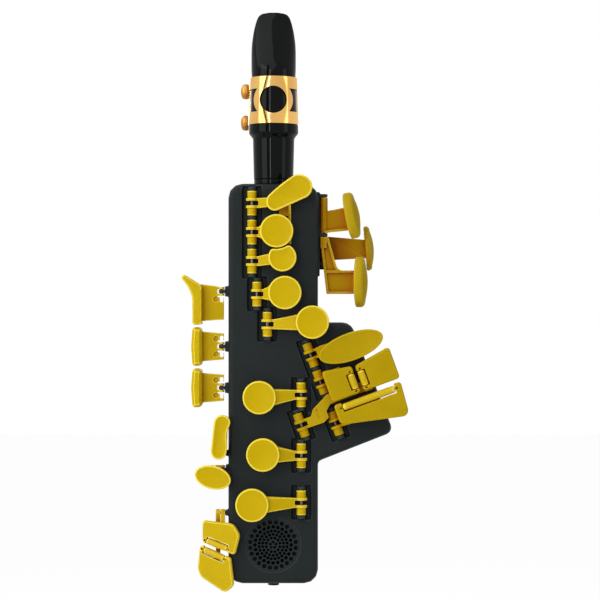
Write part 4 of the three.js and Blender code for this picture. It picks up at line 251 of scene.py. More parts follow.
def empty_finish(name, inputs):
    """A material with a single Principled shader and its fixed sockets set."""
    material = bpy.data.materials.new(name)
    material.use_nodes = True
    tree = material.node_tree
    shader = tree.nodes["Principled BSDF"]
    feed(tree, shader, inputs)
    return material, tree, shader


def emboss(tree, shader, height, strength, depth):
    """Feeds a height to a shader's normal."""
    relief = put(tree, "ShaderNodeBump", {"Strength": strength, "Distance": depth, "Height": height})
    feed(tree, shader, {"Normal": relief[0]})


def effect_finish(name, fixed, effect_name, inputs, bump, depth):
    """A material that feeds an effect's colour, roughness and height to its shader."""
    material, tree, shader = empty_finish(name, fixed)
    source = put(tree, "ShaderNodeGroup", inputs, node_tree=bpy.data.node_groups[effect_name])
    feed(tree, shader, {"Base Color": source["Colour"], "Roughness": source["Roughness"]})
    emboss(tree, shader, source["Height"], bump, depth)
    return material


def moulded_finish(name, base, edge, hollow_shade, roughness, mottle, bump, gloss, edge_amount=0.5,
                   hollow_amount=0.5, hollow_start=0.8, hollow_full=0.3, metallic=0.0):
    return effect_finish(name, {"Specular IOR Level": gloss, "Metallic": metallic}, "moulded_surface", {
        "Colour": opaque(base), "Edge Colour": opaque(edge), "Hollow Colour": opaque(hollow_shade),
        "Roughness": roughness, "Mottle": mottle, "Edge Amount": edge_amount, "Hollow Amount": hollow_amount,
        "Hollow Start": hollow_start, "Hollow Full": hollow_full}, bump, MOULDED_RELIEF)


def metal_finish(name, base, shadow, roughness, wipe, bump):
    return effect_finish(name, {"Metallic": 1.0}, "polished_metal", {
        "Colour": opaque(base), "Shadow Colour": opaque(shadow), "Roughness": roughness, "Wipe": wipe},
        bump, METAL_RELIEF)


def grained_finish(name, light, dark, scale, width, roughness, bump):
    """Cane or cork: long or round grain in two tones."""
    material, tree, shader = empty_finish(name, {"Roughness": roughness})
    fibre = grain(tree, mapped(tree, {"Scale": scale}), width, 4.0, 0.7)
    share = ranged(tree, fibre, 0.35, 0.65, 0.0, 1.0)
    feed(tree, shader, {"Base Color": mixed(tree, share, opaque(light), opaque(dark))})
    emboss(tree, shader, fibre, bump, FIBRE_RELIEF)
    return material


def board_finish(name):
    """A circuit board: green lacquer over darker copper runs."""
    material, tree, shader = empty_finish(name, {"Roughness": 0.4})
    runs = put(tree, "ShaderNodeTexBrick", {
        "Vector": mapped(tree, {"Rotation": (math.pi / 2, 0, 0)}), "Scale": 400.0, "Mortar Size": 0.03,
        "Color1": opaque(linear("1c5a36")), "Color2": opaque(linear("1f6a3e")),
        "Mortar": opaque(linear("2f8a50"))})
    feed(tree, shader, {"Base Color": runs[0]})
    emboss(tree, shader, runs[1], 0.3, FIBRE_RELIEF)
    return material


def make_finishes():
    """Makes both effects, and each finish from its row of values."""
    moulding_effect()
    polish_effect()
    tint = colours()
    black = linear("060707")
    rows = (
        # Colours of face, of the painted highlight on edges (rubbed wear too on the case) and of the painted
        # shade in hollows; roughness, mottle, bump, gloss; amounts of edge and hollow
        (moulded_finish, "key_plastic", tint.key, tint.key_rim, tint.key_hollow, 0.38, 0.08, 0.15, 0.07,
         0.9, 0.8),
        # Shaded copy of the key plastic for the little-finger table, with the key colour as painted highlight
        # on its edges
        (moulded_finish, "plate_plastic", tint.plate, tint.key, tint.key_hollow, 0.4, 0.1, 0.15, 0.07,
         0.7, 0.8),
        # Shaded copy of the key plastic for the palm keys, with painted orange shade on their webs
        (moulded_finish, "palm_plastic", tint.plate, tint.key_rim, tint.palm_web_shade, 0.4, 0.1, 0.15, 0.07,
         0.5, 0.9, 0.97, 0.5),
        (moulded_finish, "case_plastic", tint.case, tint.case_edge_wear_and_highlight, black, 0.5, 0.12, 0.35, 0.13, 0.8, 0.0),
        (moulded_finish, "grille_plastic", tint.case, tint.case_edge_wear_and_highlight, black, 0.55, 0.12, 0.35, 0.1, 0.2, 0.7),
        (moulded_finish, "ebonite", tint.ebonite, tint.ebonite, black, 0.05, 0.2, 0.01, 0.095),
        (moulded_finish, "rubber", linear("161818"), linear("262929"), black, 0.75, 0.1, 0.5, 0.3),
        (moulded_finish, "foil", linear("9fb0bd"), linear("c5d0d8"), linear("75828c"), 0.35, 0.2, 0.4, 0.5,
         0.5, 0.5, 0.8, 0.3, 0.3),
        (moulded_finish, "recess_dark", linear("0a0c0c"), linear("101212"), black, 0.8, 0.1, 0.2, 0.5),
        # Colours of face and tarnish; roughness, wipe marks, bump
        (metal_finish, "gold", tint.gold, linear("b87a34"), 0.12, 0.03, 0.03),
        (metal_finish, "knob_gold", tint.knob, linear("6e4415"), 0.30, 0.08, 0.10),
        (metal_finish, "steel", tint.steel, linear("8b8f94"), 0.20, 0.06, 0.06),
        # Painted shade: the rods' colour is darkened and browned where they sit in the key forks
        (metal_finish, "rod_steel", tint.rod, linear("37302a"), 0.28, 0.06, 0.06),
        # Light and dark colour; stretch and width of the grain; roughness, bump
        (grained_finish, "cane", linear("dcc48a"), linear("b99656"), (1, 1, 0.03), 0.0006, 0.55, 0.3),
        (grained_finish, "cork", linear("c39a68"), linear("7d5532"), (1, 1, 1), 0.0012, 0.85, 0.6),
        (board_finish, "board_lacquer"),
    )
    for make, name, *values in rows:
        FINISHES[name] = make(name, *values)


# ---- Frames ----

def placed(base, x, y, z, turn=0, about="X"):
    """A frame at a place of another, turned by some degrees about one of its axes."""
    return base @ Matrix.Translation((x, y, z)) @ Matrix.Rotation(math.radians(turn), 4, about)


def hinge_frame(joint):
    """A key's own frame in millimetres: y along its hinge, z out of the face."""
    upward = Vector(JOINTS[joint]["axis"]).normalized()
    outward = Vector((0, -1, 0))
    columns = (upward.cross(outward) * MM, upward * MM, outward * MM, Vector(JOINTS[joint]["pos_m"]))
    return Matrix([[column[row] for column in columns] for row in range(3)] + [[0, 0, 0, 1]])


def upright(point):
    """A frame in millimetres at a point of the scene that stays parallel to the drawing."""
    return Matrix.Translation(Vector(point) - DRAWING.translation) @ DRAWING


def upright_hinge(joint):
    return upright(JOINTS[joint]["pos_m"])


# ---- Outlines and profiles ----

OUTLINE_STEPS = 96
LOBE_STEPS = 28
ROUNDING_STEPS = 6
CORNER_STEPS = 4
CORNER_SHARE = 0.45


def circle(x, y, radius, steps):
    return [(x + radius * math.cos(turn * math.tau / steps), y + radius * math.sin(turn * math.tau / steps))
            for turn in range(steps)]


def ellipse(x, y, half_length, half_width, angle=0.0):
    spin = Matrix.Rotation(angle, 2)
    return [tuple(spin @ Vector((half_length * across, half_width * up)) + Vector((x, y)))
            for across, up in circle(0, 0, 1, OUTLINE_STEPS)]


def lobe(x1, y1, radius1, x2, y2, radius2):
    """An outline round two circles of different sizes, with its straight sides divided too."""
    along = math.atan2(y2 - y1, x2 - x1)
    spread = math.acos((radius1 - radius2) / math.hypot(x2 - x1, y2 - y1))
    arcs = []
    for x, y, radius, low, high in ((x2, y2, radius2, -spread, spread),
                                    (x1, y1, radius1, spread, math.tau - spread)):
        turns = [along + low + (high - low) * step / LOBE_STEPS for step in range(LOBE_STEPS + 1)]
        arcs.append([(x + radius * math.cos(turn), y + radius * math.sin(turn)) for turn in turns])
    points = []
    for arc, after in zip(arcs, reversed(arcs)):
        leaving, meeting = Vector(arc[-1]), Vector(after[0])
        points += arc + [tuple(leaving.lerp(meeting, step / LOBE_STEPS)) for step in range(1, LOBE_STEPS)]
    return points


def hollowed(outline, centre, radius, softness):
    """Pushes an outline out of a round hollow beside it."""
    points = []
    for point in outline:
        away = Vector(point) - Vector(centre)
        reach = away.length
        kept = (reach + radius + math.hypot(reach - radius, softness)) / 2
        points.append(tuple(Vector(centre) + away.normalized() * kept))
    return points


def swollen(outline, start, end, radius1, radius2, bulge):
    """Fills out the upper side of a lobe."""
    first, axis = Vector(start), Vector(end) - Vector(start)
    reach = axis.length
    axis.normalize()
    across = Vector((-axis.y, axis.x))
    points = []
    for point in outline:
        away = Vector(point) - first
        share = (away.dot(axis) + radius1) / (radius1 + reach + radius2)
        lift = bulge * 4 * share * (1 - share) if away.dot(across) > 0 else 0
        points.append(tuple(Vector(point) + across * lift))
    return points


def eased(outline, passes):
    """Rounds the corners of an outline of close points."""
    points = [Vector(point) for point in outline]
    for _ in range(passes):
        points = [(points[index - 1] + 2 * here + points[(index + 1) % len(points)]) / 4
                  for index, here in enumerate(points)]
    return [tuple(point) for point in points]


def drawn_in(outline, inset):
    """Moves an outline inwards, or outwards for a negative inset."""
    result = []
    for index, (x, y) in enumerate(outline):
        along = (Vector(outline[(index + 1) % len(outline)]) - Vector(outline[index - 1])).normalized()
        result.append((x - along.y * inset, y + along.x * inset))
    return result


def middle_of(outline):
    return sum((Vector(point) for point in outline), Vector((0, 0))) / len(outline)


def encloses(outline, point):
    """Whether a point lies inside an outline."""
    inside = False
    for (x1, y1), (x2, y2) in zip(outline, outline[1:] + outline[:1]):
        if (y1 > point.y) != (y2 > point.y) and point.x < x1 + (point.y - y1) * (x2 - x1) / (y2 - y1):
            inside = not inside
    return inside


def rounding(reach, drop):
    """A quarter round as (inset, height below the top) from the wall to the face."""
    turns = [math.pi / 2 * step / ROUNDING_STEPS for step in range(ROUNDING_STEPS + 1)]
    return [(reach * (1 - math.cos(turn)), drop * (1 - math.sin(turn))) for turn in turns]


def soft_profile(corners, radius, closed=False):
    """A profile with its corners rounded; the first and last stay where it is open."""
    corners = [Vector(corner) for corner in corners]
    if closed:
        corners = [corners[-1], *corners, corners[0]]
    points = []
    for before, here, after in zip(corners, corners[1:], corners[2:]):
        back = before - here
        on = after - here
        reach = min(radius, back.length * CORNER_SHARE, on.length * CORNER_SHARE)
        start = here + back.normalized() * reach
        end = here + on.normalized() * reach
        for step in range(CORNER_STEPS + 1):
            share = step / CORNER_STEPS
            points.append(start.lerp(here, share).lerp(here.lerp(end, share), share))
    return points if closed else [corners[0], *points, corners[-1]]


def tube(bore, radius, low, high, softness):
    return soft_profile([(bore, low), (radius, low), (radius, high), (bore, high)], softness, closed=True)


def pin(radius, low, high, softness):
    return soft_profile([(0, low), (radius, low), (radius, high), (0, high)], softness)


# ---- Forms ----

LIP_REACH = 0.6
LIP_STEPS = 4
FACE_RINGS = 10
ON_AXIS = 1e-6


def add_skin(shape, rings, first=None, last=None):
    """Faces over rings of equal numbers of points, closed by a point or by joining the ends."""
    made = [[shape.verts.new(place) for place in ring] for ring in rings]
    spans = list(zip(made, made[1:]))
    if first is None:
        spans.append((made[-1], made[0]))
    count = len(rings[0])
    pairs = [(step, (step + 1) % count) for step in range(count)]
    for low, high in spans:
        for step, after in pairs:
            shape.faces.new((low[step], low[after], high[after], high[step]))
    for ring, point, order in ((made[0], first, -1), (made[-1], last, 1)):
        if point is not None:
            tip = shape.verts.new(point)
            for step, after in pairs:
                shape.faces.new([ring[step], ring[after]][::order] + [tip])


def add_pad(shape, place, outline, low, high, rim, lip=0.0, dish=0.0, crown_rim=None):
    """A finger touch: a rounded rim and a low lip round a dished face, or a domed one for a negative dish."""
    reach, drop = crown_rim or (rim, rim)
    levels = [(inset, low + height) for inset, height in reversed(rounding(rim, rim))]
    levels += [(inset, high - height) for inset, height in rounding(reach, drop)]
    for step in range(1, LIP_STEPS + 1):
        share = step / LIP_STEPS
        levels.append((reach + LIP_REACH * share, high - lip * (share * share * (3 - 2 * share))))
    skins = [[Vector((x, y, height)) for x, y in drawn_in(outline, inset)] for inset, height in levels]
    edge = drawn_in(outline, reach + LIP_REACH)
    middle = middle_of(edge)
    face = high - lip
    for ring in range(1, FACE_RINGS):
        share = 1 - ring / FACE_RINGS
        height = face - dish * (1 - share * share)
        skins.append([Vector((*middle.lerp(Vector(point), share), height)) for point in edge])
    add_skin(shape, [[place @ point for point in ring] for ring in skins],
             place @ Vector((*middle, low)), place @ Vector((*middle, face - dish)))


def add_turned(shape, place, profile, steps, ripple=None):
    """A turned body round y, from a profile whose ends lie on the axis or meet."""
    tips = [None, None]
    body = list(profile)
    if body[0][0] < ON_AXIS:
        tips[0] = place @ Vector((0, body.pop(0)[1], 0))
    if body[-1][0] < ON_AXIS:
        tips[1] = place @ Vector((0, body.pop()[1], 0))
    rings = []
    for radius, height in body:
        ring = []
        for step in range(steps):
            turn = step * math.tau / steps
            reach = radius * (ripple(turn, radius) if ripple else 1)
            ring.append(place @ Vector((reach * math.cos(turn), height, -reach * math.sin(turn))))
        rings.append(ring)
    add_skin(shape, rings, *tips)


def ribbed(count, height, reach):
    """A ripple of ridges for a turned body, where it is wider than a reach."""
    return lambda turn, radius: 1 + (height * math.cos(count * turn) if radius > reach else 0)


def add_box(shape, place, low, high):
    corners = [shape.verts.new(place @ Vector((x, y, z)))
               for x in (low[0], high[0]) for y in (low[1], high[1]) for z in (low[2], high[2])]
    for face in ((0, 1, 3, 2), (4, 6, 7, 5), (0, 4, 5, 1), (2, 3, 7, 6), (0, 2, 6, 4), (1, 5, 7, 3)):
        shape.faces.new([corners[index] for index in face])


# ---- Pieces ----

SMOOTH_ANGLE = 35.0
MARK_PASSES = 4


def shape_of(mesh):
    shape = bmesh.new()
    shape.from_mesh(mesh)
    return shape


def cad_shape(node):
    """A copy of a CAD node's mesh."""
    shape = shape_of(frame["nodes"][node].data)
    for face in shape.faces:
        face.material_index = 0
    return shape


def linked(name, data):
    obj = bpy.data.objects.new(name, data)
    bpy.context.scene.collection.objects.link(obj)
    return obj


def object_of(name, shape):
    """Turns a shape into an object and frees it."""
    bmesh.ops.recalc_face_normals(shape, faces=shape.faces)
    mesh = bpy.data.meshes.new(name)
    shape.to_mesh(mesh)
    shape.free()
    return linked(name, mesh)


def drawn(name, add, *form):
    """An object of a single form."""
    shape = bmesh.new()
    add(shape, *form)
    return object_of(name, shape)


def evaluated_mesh(obj):
    bpy.context.view_layer.update()
    return bpy.data.meshes.new_from_object(obj.evaluated_get(bpy.context.evaluated_depsgraph_get()))


def settle(obj):
    """Applies an object's modifiers to its mesh."""
    mesh, old = evaluated_mesh(obj), obj.data
    obj.modifiers.clear()
    obj.data = mesh
    bpy.data.meshes.remove(old)
    mesh.name = obj.name
    return obj


def modified(obj, kind, **settings):
    modifier = obj.modifiers.new(kind.lower(), kind)
    for name, value in settings.items():
        setattr(modifier, name, value)


def skinned(obj, grid, passes, kept=1.0):
    """Gives a piece one soft-edged skin over all its bodies, and keeps a share of its faces."""
    modified(obj, "REMESH", mode="VOXEL", voxel_size=grid, use_smooth_shade=True)
    modified(obj, "SMOOTH", factor=0.5, iterations=passes)
    if kept < 1:
        modified(obj, "DECIMATE", ratio=kept)
    return settle(obj)


def carved(obj, *tools):
    """Cuts the tools out of a piece."""
    for tool in tools:
        modified(obj, "BOOLEAN", operation="DIFFERENCE", solver="EXACT", object=tool)
    settle(obj)
    for tool in tools:
        bpy.data.objects.remove(tool)
    return obj


def shaded(obj, angle=SMOOTH_ANGLE):
    """Shades a piece smooth, except across its sharp edges."""
    obj.data.polygons.foreach_set("use_smooth", [True] * len(obj.data.polygons))
    obj.data.set_sharp_from_angle(angle=math.radians(angle))
    return obj


def edged(obj, width, angle, steps=2):
    """Breaks the sharp edges of a piece and shades the rest smooth."""
    modified(obj, "BEVEL", width=width, segments=steps, limit_method="ANGLE", angle_limit=math.radians(angle),
             use_clamp_overlap=True)
    return shaded(settle(obj), angle)


def turned(name, place, profile, steps, ripple=None):
    return shaded(drawn(name, add_turned, place, profile, steps, ripple))


def numbers(items, name, width, kind=numpy.float64):
    values = numpy.empty(len(items) * width, dtype=kind)
    items.foreach_get(name, values)
    return values.reshape(-1, width)


def mark_edges(mesh):
    """Stores on each vertex how far it stands on a rounded outer edge, from 0 to 1; the finishes paint a
    highlight there, and rubbed wear as well on the case.
    """
    count = len(mesh.vertices)
    ends = numbers(mesh.edges, "vertices", 2, numpy.int32)
    places = numbers(mesh.vertices, "co", 3)
    normals = numbers(mesh.vertex_normals, "vector", 3)
    one, two = numpy.concatenate((ends, ends[:, ::-1])).T
    away = places[one] - places[two]
    reach = numpy.linalg.norm(away, axis=1) + 1e-12
    bend = (normals[one] * away).sum(axis=1) / (reach * reach)
    shared = numpy.maximum(numpy.bincount(one, minlength=count), 1)
    value = numpy.bincount(one, weights=bend, minlength=count) / shared
    for _ in range(MARK_PASSES):
        value = (value + numpy.bincount(one, weights=value[two], minlength=count) / shared) / 2
    mask = numpy.clip(value * EDGE_RADIUS, 0, 1)
    mesh.attributes.new(EDGE_MASK, "FLOAT", "POINT").data.foreach_set("value", mask)


def ready(obj, finish, node=None, body="housing"):
    """Puts a finish on a piece, lets it ride on its body and stand for its CAD node."""
    mark_edges(obj.data)
    obj.data.materials.clear()
    obj.data.materials.append(FINISHES[finish])
    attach(obj, body)
    if node:
        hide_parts(node)


def skinned_piece(name, shape, grid, passes, finish, node, body="housing", kept=1.0):
    ready(skinned(object_of(name, shape), grid, passes, kept), finish, node, body)


# ---- Case ----

CASE_SMOOTHING = 3
CASE_KEPT = 0.25


class CONTROLLER_OT_case(bpy.types.Operator):
    """Skin the two halves of the case"""

    bl_idname = "controller.case"
    bl_label = "Case halves"

    def execute(self, context):
        for half in ("front", "rear"):
            node = half + "_housing"
            skinned_piece(half + "_case_half", cad_shape(node), sizes().case_grid, CASE_SMOOTHING,
                          "case_plastic", node, kept=CASE_KEPT)
        return {"FINISHED"}


# Palm hinge flanges, in metres: from the case's side to past the hinge axis, behind the barrels
FLANGE_REACH = 3.4 * MM
FLANGE_BACK = 2.6 * MM
FLANGE_LAP = 0.0002
FLANGE_THICKNESS = 0.0009
FLANGE_EDGE = 0.0003
PALM_FLANGES = {"palm_d_press": (0.0610, 0.0795), "palm_e_flat_press": (0.0385, 0.0615)}


class CONTROLLER_OT_palm_rails(bpy.types.Operator):
    """Fit the flanges that close the gap behind the palm key barrels"""

    bl_idname = "controller.palm_rails"
    bl_label = "Palm hinge flanges"

    def execute(self, context):
        side = JOINTS["palm_d_press"]["pos_m"][0] - FLANGE_REACH - FLANGE_LAP
        shape = bmesh.new()
        for joint, (foot, top) in PALM_FLANGES.items():
            across, back, _ = JOINTS[joint]["pos_m"]
            near = back + FLANGE_BACK
            add_box(shape, Matrix.Identity(4), (side, near, foot),
                    (across + FLANGE_LAP, near + FLANGE_THICKNESS, top))
        flanges = object_of("palm_hinge_flanges", shape)
        ready(edged(flanges, FLANGE_EDGE, angle=30, steps=3), "case_plastic")
        return {"FINISHED"}


CASE_SCREWS = ((-17.9, 9, -13.2), (17.9, 9, -13.2), (-17.9, 207.8, -13.2), (17.9, 207.8, -13.2),
               (-17.9, 127, -13.2), (51.306, 85.985, -3.2))
SCREW_SPIN = 0.7
CROSS_REACH, CROSS_HALF, CROSS_FOOT, CROSS_TOP = 1.5, 0.28, -1.3, -0.3


class CONTROLLER_OT_case_screws(bpy.types.Operator):
    """Sink a cross-head screw into each counterbore on the back"""

    bl_idname = "controller.case_screws"
    bl_label = "Case screws"

    def execute(self, context):
        radius = sizes().screw_radius / MM
        head = soft_profile([(0, 1.0), (radius * 0.6, 0.92), (radius, 0.35), (radius, 0), (0, 0)], 0.25)
        for index, seat in enumerate(CASE_SCREWS):
            screw = drawn(f"case_screw_{index + 1}", add_turned, placed(DRAWING, *seat, -90), head, 40)
            spun = placed(DRAWING, *seat) @ Matrix.Rotation(index * SCREW_SPIN, 4, "Z")
            carved(screw, *(drawn("cross_cut", add_box, spun, (-x, -y, CROSS_FOOT), (x, y, CROSS_TOP))
                            for x, y in ((CROSS_REACH, CROSS_HALF), (CROSS_HALF, CROSS_REACH))))
            ready(shaded(screw), "steel")
        return {"FINISHED"}


GRILLE_RADIUS = 14.4
GRILLE_DISC = 14.64
GRILLE_MIDDLE = (0.0, 21.1)
GRILLE_TOP = 15.0
GRILLE_THICKNESS = 2.7
GRILLE_BEAD = 0.1
HOLE_STEPS = 16
# Bore, radius, foot and top of the flange behind the grille
GRILLE_FLANGE = (11.4, 15.9, 11.2, 12.2)
# Each ring's radius, number of holes and hole radius; the radii are shares of the grille's
GRILLE_RINGS = ((0.861, 24, 0.081), (0.681, 24, 0.071), (0.528, 24, 0.0595), (0.396, 18, 0.057),
                (0.264, 12, 0.055), (0.111, 5, 0.051))


class CONTROLLER_OT_grille(bpy.types.Operator):
    """Cut the ringed holes of the speaker grille"""

    bl_idname = "controller.grille"
    bl_label = "Speaker grille"

    def execute(self, context):
        outline = bpy.data.curves.new("grille_outline", "CURVE")
        outline.dimensions = "2D"
        outline.fill_mode = "BOTH"
        outline.extrude = GRILLE_THICKNESS / 2 - GRILLE_BEAD
        outline.bevel_depth = GRILLE_BEAD
        outline.bevel_resolution = 2
        rims = [(0, 0, GRILLE_DISC - GRILLE_BEAD, OUTLINE_STEPS)]
        for index, (share, count, hole) in enumerate(GRILLE_RINGS):
            for step in range(count):
                turn = math.tau * (step + (index + 1) % 2 / 2) / count + math.pi / 2
                reach = GRILLE_RADIUS * share
                rims.append((reach * math.cos(turn), reach * math.sin(turn),
                             GRILLE_RADIUS * hole + GRILLE_BEAD, HOLE_STEPS))
        for rim in rims:
            points = circle(*rim)
            spline = outline.splines.new("POLY")
            spline.points.add(len(points) - 1)
            for point, (x, y) in zip(spline.points, points):
                point.co = (x, y, 0, 1)
            spline.use_cyclic_u = True
        holder = linked("grille_outline", outline)
        mesh = evaluated_mesh(holder)
        bpy.data.objects.remove(holder)
        mesh.transform(placed(DRAWING, *GRILLE_MIDDLE, GRILLE_TOP - GRILLE_THICKNESS / 2))
        shape = shape_of(mesh)
        bpy.data.meshes.remove(mesh)
        bmesh.ops.remove_doubles(shape, verts=shape.verts, dist=1e-7)
        grille = shaded(object_of("ringed_grille", shape), angle=40)
        ready(grille, "grille_plastic", "speaker_grille")
        flange = turned("grille_flange", placed(DRAWING, *GRILLE_MIDDLE, 0, 90),
                        tube(*GRILLE_FLANGE, 0.1), steps=72)
        ready(flange, "recess_dark")
        return {"FINISHED"}


NECK_PROFILE = ((4, 206.5), (6.5, 206.5), (6.5, 211.5), (10.2, 211.5), (10.2, 214.3), (8.7, 214.3),
                (8.7, 217.1), (10.9, 217.1), (10.9, 219.5), (6.5, 219.5), (6.5, 245.3), (4, 245.3))
# Bore, radius, foot and top of the cork
CORK = (6.8, 7.7, 221.8, 242.8)


class CONTROLLER_OT_neck(bpy.types.Operator):
    """Turn the neck socket and its cork"""

    bl_idname = "controller.neck"
    bl_label = "Neck"

    def execute(self, context):
        neck = turned("neck_turning", DRAWING, soft_profile(NECK_PROFILE, 0.3, closed=True), steps=96)
        ready(neck, "ebonite", "neck_socket")
        cork = turned("cork_sleeve", DRAWING, tube(*CORK, 0.3), steps=72)
        ready(cork, "cork", "neck_cork")
        return {"FINISHED"}


# ---- Mouthpiece, reed and ligature ----

MOUTH_STEPS = 128
MOUTH_FOOT = 219.6
MOUTH_FOOT_RADIUS = 11.0
BORE_RADIUS = 8.0
BORE_TOP = 246.0
SHANK_RADIUS = 11.55
SHOULDER_FOOT = 245.4
SHOULDER_RISE = 3.8
SHOULDER_FLARE = 2.2
BODY_FOOT = 249.4
BODY_RADIUS = 13.05
BODY_TAPER = 0.8
SEAM = 0.02
BEAK_FOOT = 277.0
BEAK_HEIGHT = 35.6
BEAK_TOP = BEAK_FOOT + BEAK_HEIGHT
BEAK_HALF = 12.4
BEAK_RINGS = 60
BEAK_CROWDING = 0.85
TABLE_DEPTH = -8.22
TIP_DEPTH = -7.55
CREST_DEPTH = -7.6
FACING_FOOT = 290.0
FAIRING_PASSES = 40
# Shares of the beak's height with shares of its half width
BEAK_WIDTHS = ((0, 0.988), (0.08, 1.0), (0.25, 1.0), (0.4, 0.992), (0.5, 0.975), (0.6, 0.94), (0.7, 0.893),
               (0.8, 0.826), (0.88, 0.755), (0.93, 0.69), (0.965, 0.6), (0.985, 0.49), (1, 0.25))
BEAK_FRONTS = ((0, 0.988), (0.03, 0.988), (0.08, 0.976), (0.25, 0.69), (0.4, 0.45), (0.56, 0.177),
               (0.72, -0.097), (0.88, -0.37), (0.96, -0.5), (1, -0.55))
BEAK_MIDDLES = ((0, 0), (0.08, 0), (0.25, -0.12), (0.4, -0.24), (0.56, -0.38), (0.72, -0.5), (0.88, -0.58),
                (0.96, -0.6), (1, -0.61))


def between(table, place):
    """A smooth curve through a table of places and values."""
    index = max(step for step in range(len(table) - 1) if table[step][0] <= place + 1e-9)

    def slope(here):
        low, high = table[max(here - 1, 0)], table[min(here + 1, len(table) - 1)]
        return (high[1] - low[1]) / (high[0] - low[0])

    (low, start), (high, end) = table[index], table[index + 1]
    span = high - low
    share = (place - low) / span
    square, cube = share ** 2, share ** 3
    return ((2 * cube - 3 * square + 1) * start + (cube - 2 * square + share) * span * slope(index)
            + (3 * square - 2 * cube) * end + (cube - square) * span * slope(index + 1))


def faired(values):
    """Evens out a row of values between its fixed ends."""
    for _ in range(FAIRING_PASSES):
        inner = [(low + 2 * here + high) / 4 for low, here, high in zip(values, values[1:], values[2:])]
        values = [values[0], *inner, values[-1]]
    return values


def mouth_ring(height, half, front, middle, flat):
    """A ring of the mouthpiece; a flat one is cut by the table and the facing curve on the reed's side."""
    ring = []
    for step in range(MOUTH_STEPS):
        turn = step * math.tau / MOUTH_STEPS
        up = math.sin(turn)
        depth = middle + up * (front - middle if up > 0 else half + middle / 2)
        if flat:
            lay = max(height - FACING_FOOT, 0) / (BEAK_TOP - FACING_FOOT)
            depth = max(depth, TABLE_DEPTH + (TIP_DEPTH - TABLE_DEPTH) * lay * lay)
        ring.append(DRAWING @ Vector((half * math.cos(turn), height, depth)))
    return ring


class CONTROLLER_OT_mouthpiece(bpy.types.Operator):
    """Draw the polished mouthpiece with its shank, shoulder, table and beak"""

    bl_idname = "controller.mouthpiece"
    bl_label = "Mouthpiece"

    def execute(self, context):
        shoulder = [(SHANK_RADIUS + SHOULDER_FLARE * share * share * (3 - 2 * share),
                     SHOULDER_FOOT - SHOULDER_RISE + SHOULDER_RISE * share)
                    for share in (0.1 * step for step in range(1, 11))]
        shank = [(0.1, BORE_TOP), (6.0, BORE_TOP), (BORE_RADIUS, BORE_TOP), (BORE_RADIUS, MOUTH_FOOT),
                 (MOUTH_FOOT_RADIUS, MOUTH_FOOT), (SHANK_RADIUS, SHOULDER_FOOT - SHOULDER_RISE), *shoulder,
                 (SHANK_RADIUS + SHOULDER_FLARE, BODY_FOOT), (BODY_RADIUS, BODY_FOOT)]
        rings = [mouth_ring(height, radius, radius, 0, False) for radius, height in soft_profile(shank, 0.45)]
        for height in (BODY_FOOT, BODY_FOOT + SEAM, (BODY_FOOT + BEAK_FOOT) / 2, BEAK_FOOT - SEAM):
            radius = BODY_RADIUS - BODY_TAPER * (height - BODY_FOOT) / (BEAK_FOOT - BODY_FOOT)
            rings.append(mouth_ring(height, radius, radius, 0, True))
        shares = [(step / BEAK_RINGS) ** BEAK_CROWDING for step in range(BEAK_RINGS + 1)]
        halves, fronts, middles = ([between(table, share) * BEAK_HALF for share in shares]
                                   for table in (BEAK_WIDTHS, BEAK_FRONTS, BEAK_MIDDLES))
        for share, half, front, middle in zip(shares, halves, faired(fronts), faired(middles)):
            rings.append(mouth_ring(BEAK_FOOT + BEAK_HEIGHT * share, half, front, middle, True))
        shape = bmesh.new()
        add_skin(shape, rings, DRAWING @ Vector((0, BORE_TOP, 0)),
                 DRAWING @ Vector((0, BEAK_TOP + SEAM, CREST_DEPTH)))
        bmesh.ops.remove_doubles(shape, verts=shape.verts, dist=1e-8)
        mouthpiece = shaded(object_of("mouthpiece_turning", shape), angle=30)
        ready(mouthpiece, "ebonite", "mouthpiece", "mouthpiece")
        return {"FINISHED"}


# How much the reed grows at its tip and the grid of its skin, in metres
REED_GROWTH = 0.0012
REED_GRID = 0.0002


class CONTROLLER_OT_reed(bpy.types.Operator):
    """Shave the cane reed"""

    bl_idname = "controller.reed"
    bl_label = "Reed"

    def execute(self, context):
        shape = cad_shape("reed")
        low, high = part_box("reed")
        for vertex in shape.verts:
            vertex.co.z += REED_GROWTH * (vertex.co.z - low.z) / (high.z - low.z)
        skinned_piece("shaved_reed", shape, REED_GRID, 2, "cane", "reed", "mouthpiece", kept=0.5)
        return {"FINISHED"}


BAND_FOOT, BAND_TOP = 249.7, 275.4
BAND_MIDDLE = (BAND_FOOT + BAND_TOP) / 2
BAND_PROFILE = ((13.35, BAND_FOOT), (14.05, BAND_FOOT), (13.25, BAND_TOP), (12.55, BAND_TOP))
BAND_HOLE = 7.4
BAND_RING = 10.7
BAND_BRIDGE = 6.6
BAND_GAP = 1.2
BAND_EDGE, LUG_EDGE = 0.12 * MM, 0.2 * MM
LIGATURE_SCREWS = {"ligature_screw_upper": 269.8, "ligature_screw_lower": 252.3}
LIGATURE_SCREW_DEPTH = -15.6
LUG_END = 7.6
LUG_BORE, LUG_RADIUS = 1.5, 2.1
# The block that joins a lug to the band: half its height, how far its back is from the screw, its front
LUG_BLOCK_HALF, LUG_BLOCK_RISE, LUG_BLOCK_FRONT = 1.3, 1.6, -11.2
KNOB_PROFILE = ((0, -18.5), (2.0, -18.4), (3.4, -17.8), (4.15, -16.5), (4.15, -14.6), (3.5, -13.4),
                (1.8, -13.1), (1.1, -12.7), (1.1, 7.2), (0, 7.6))
KNOB_RIDGE = 0.016
KNOB_RIDGES_FROM = 3.5


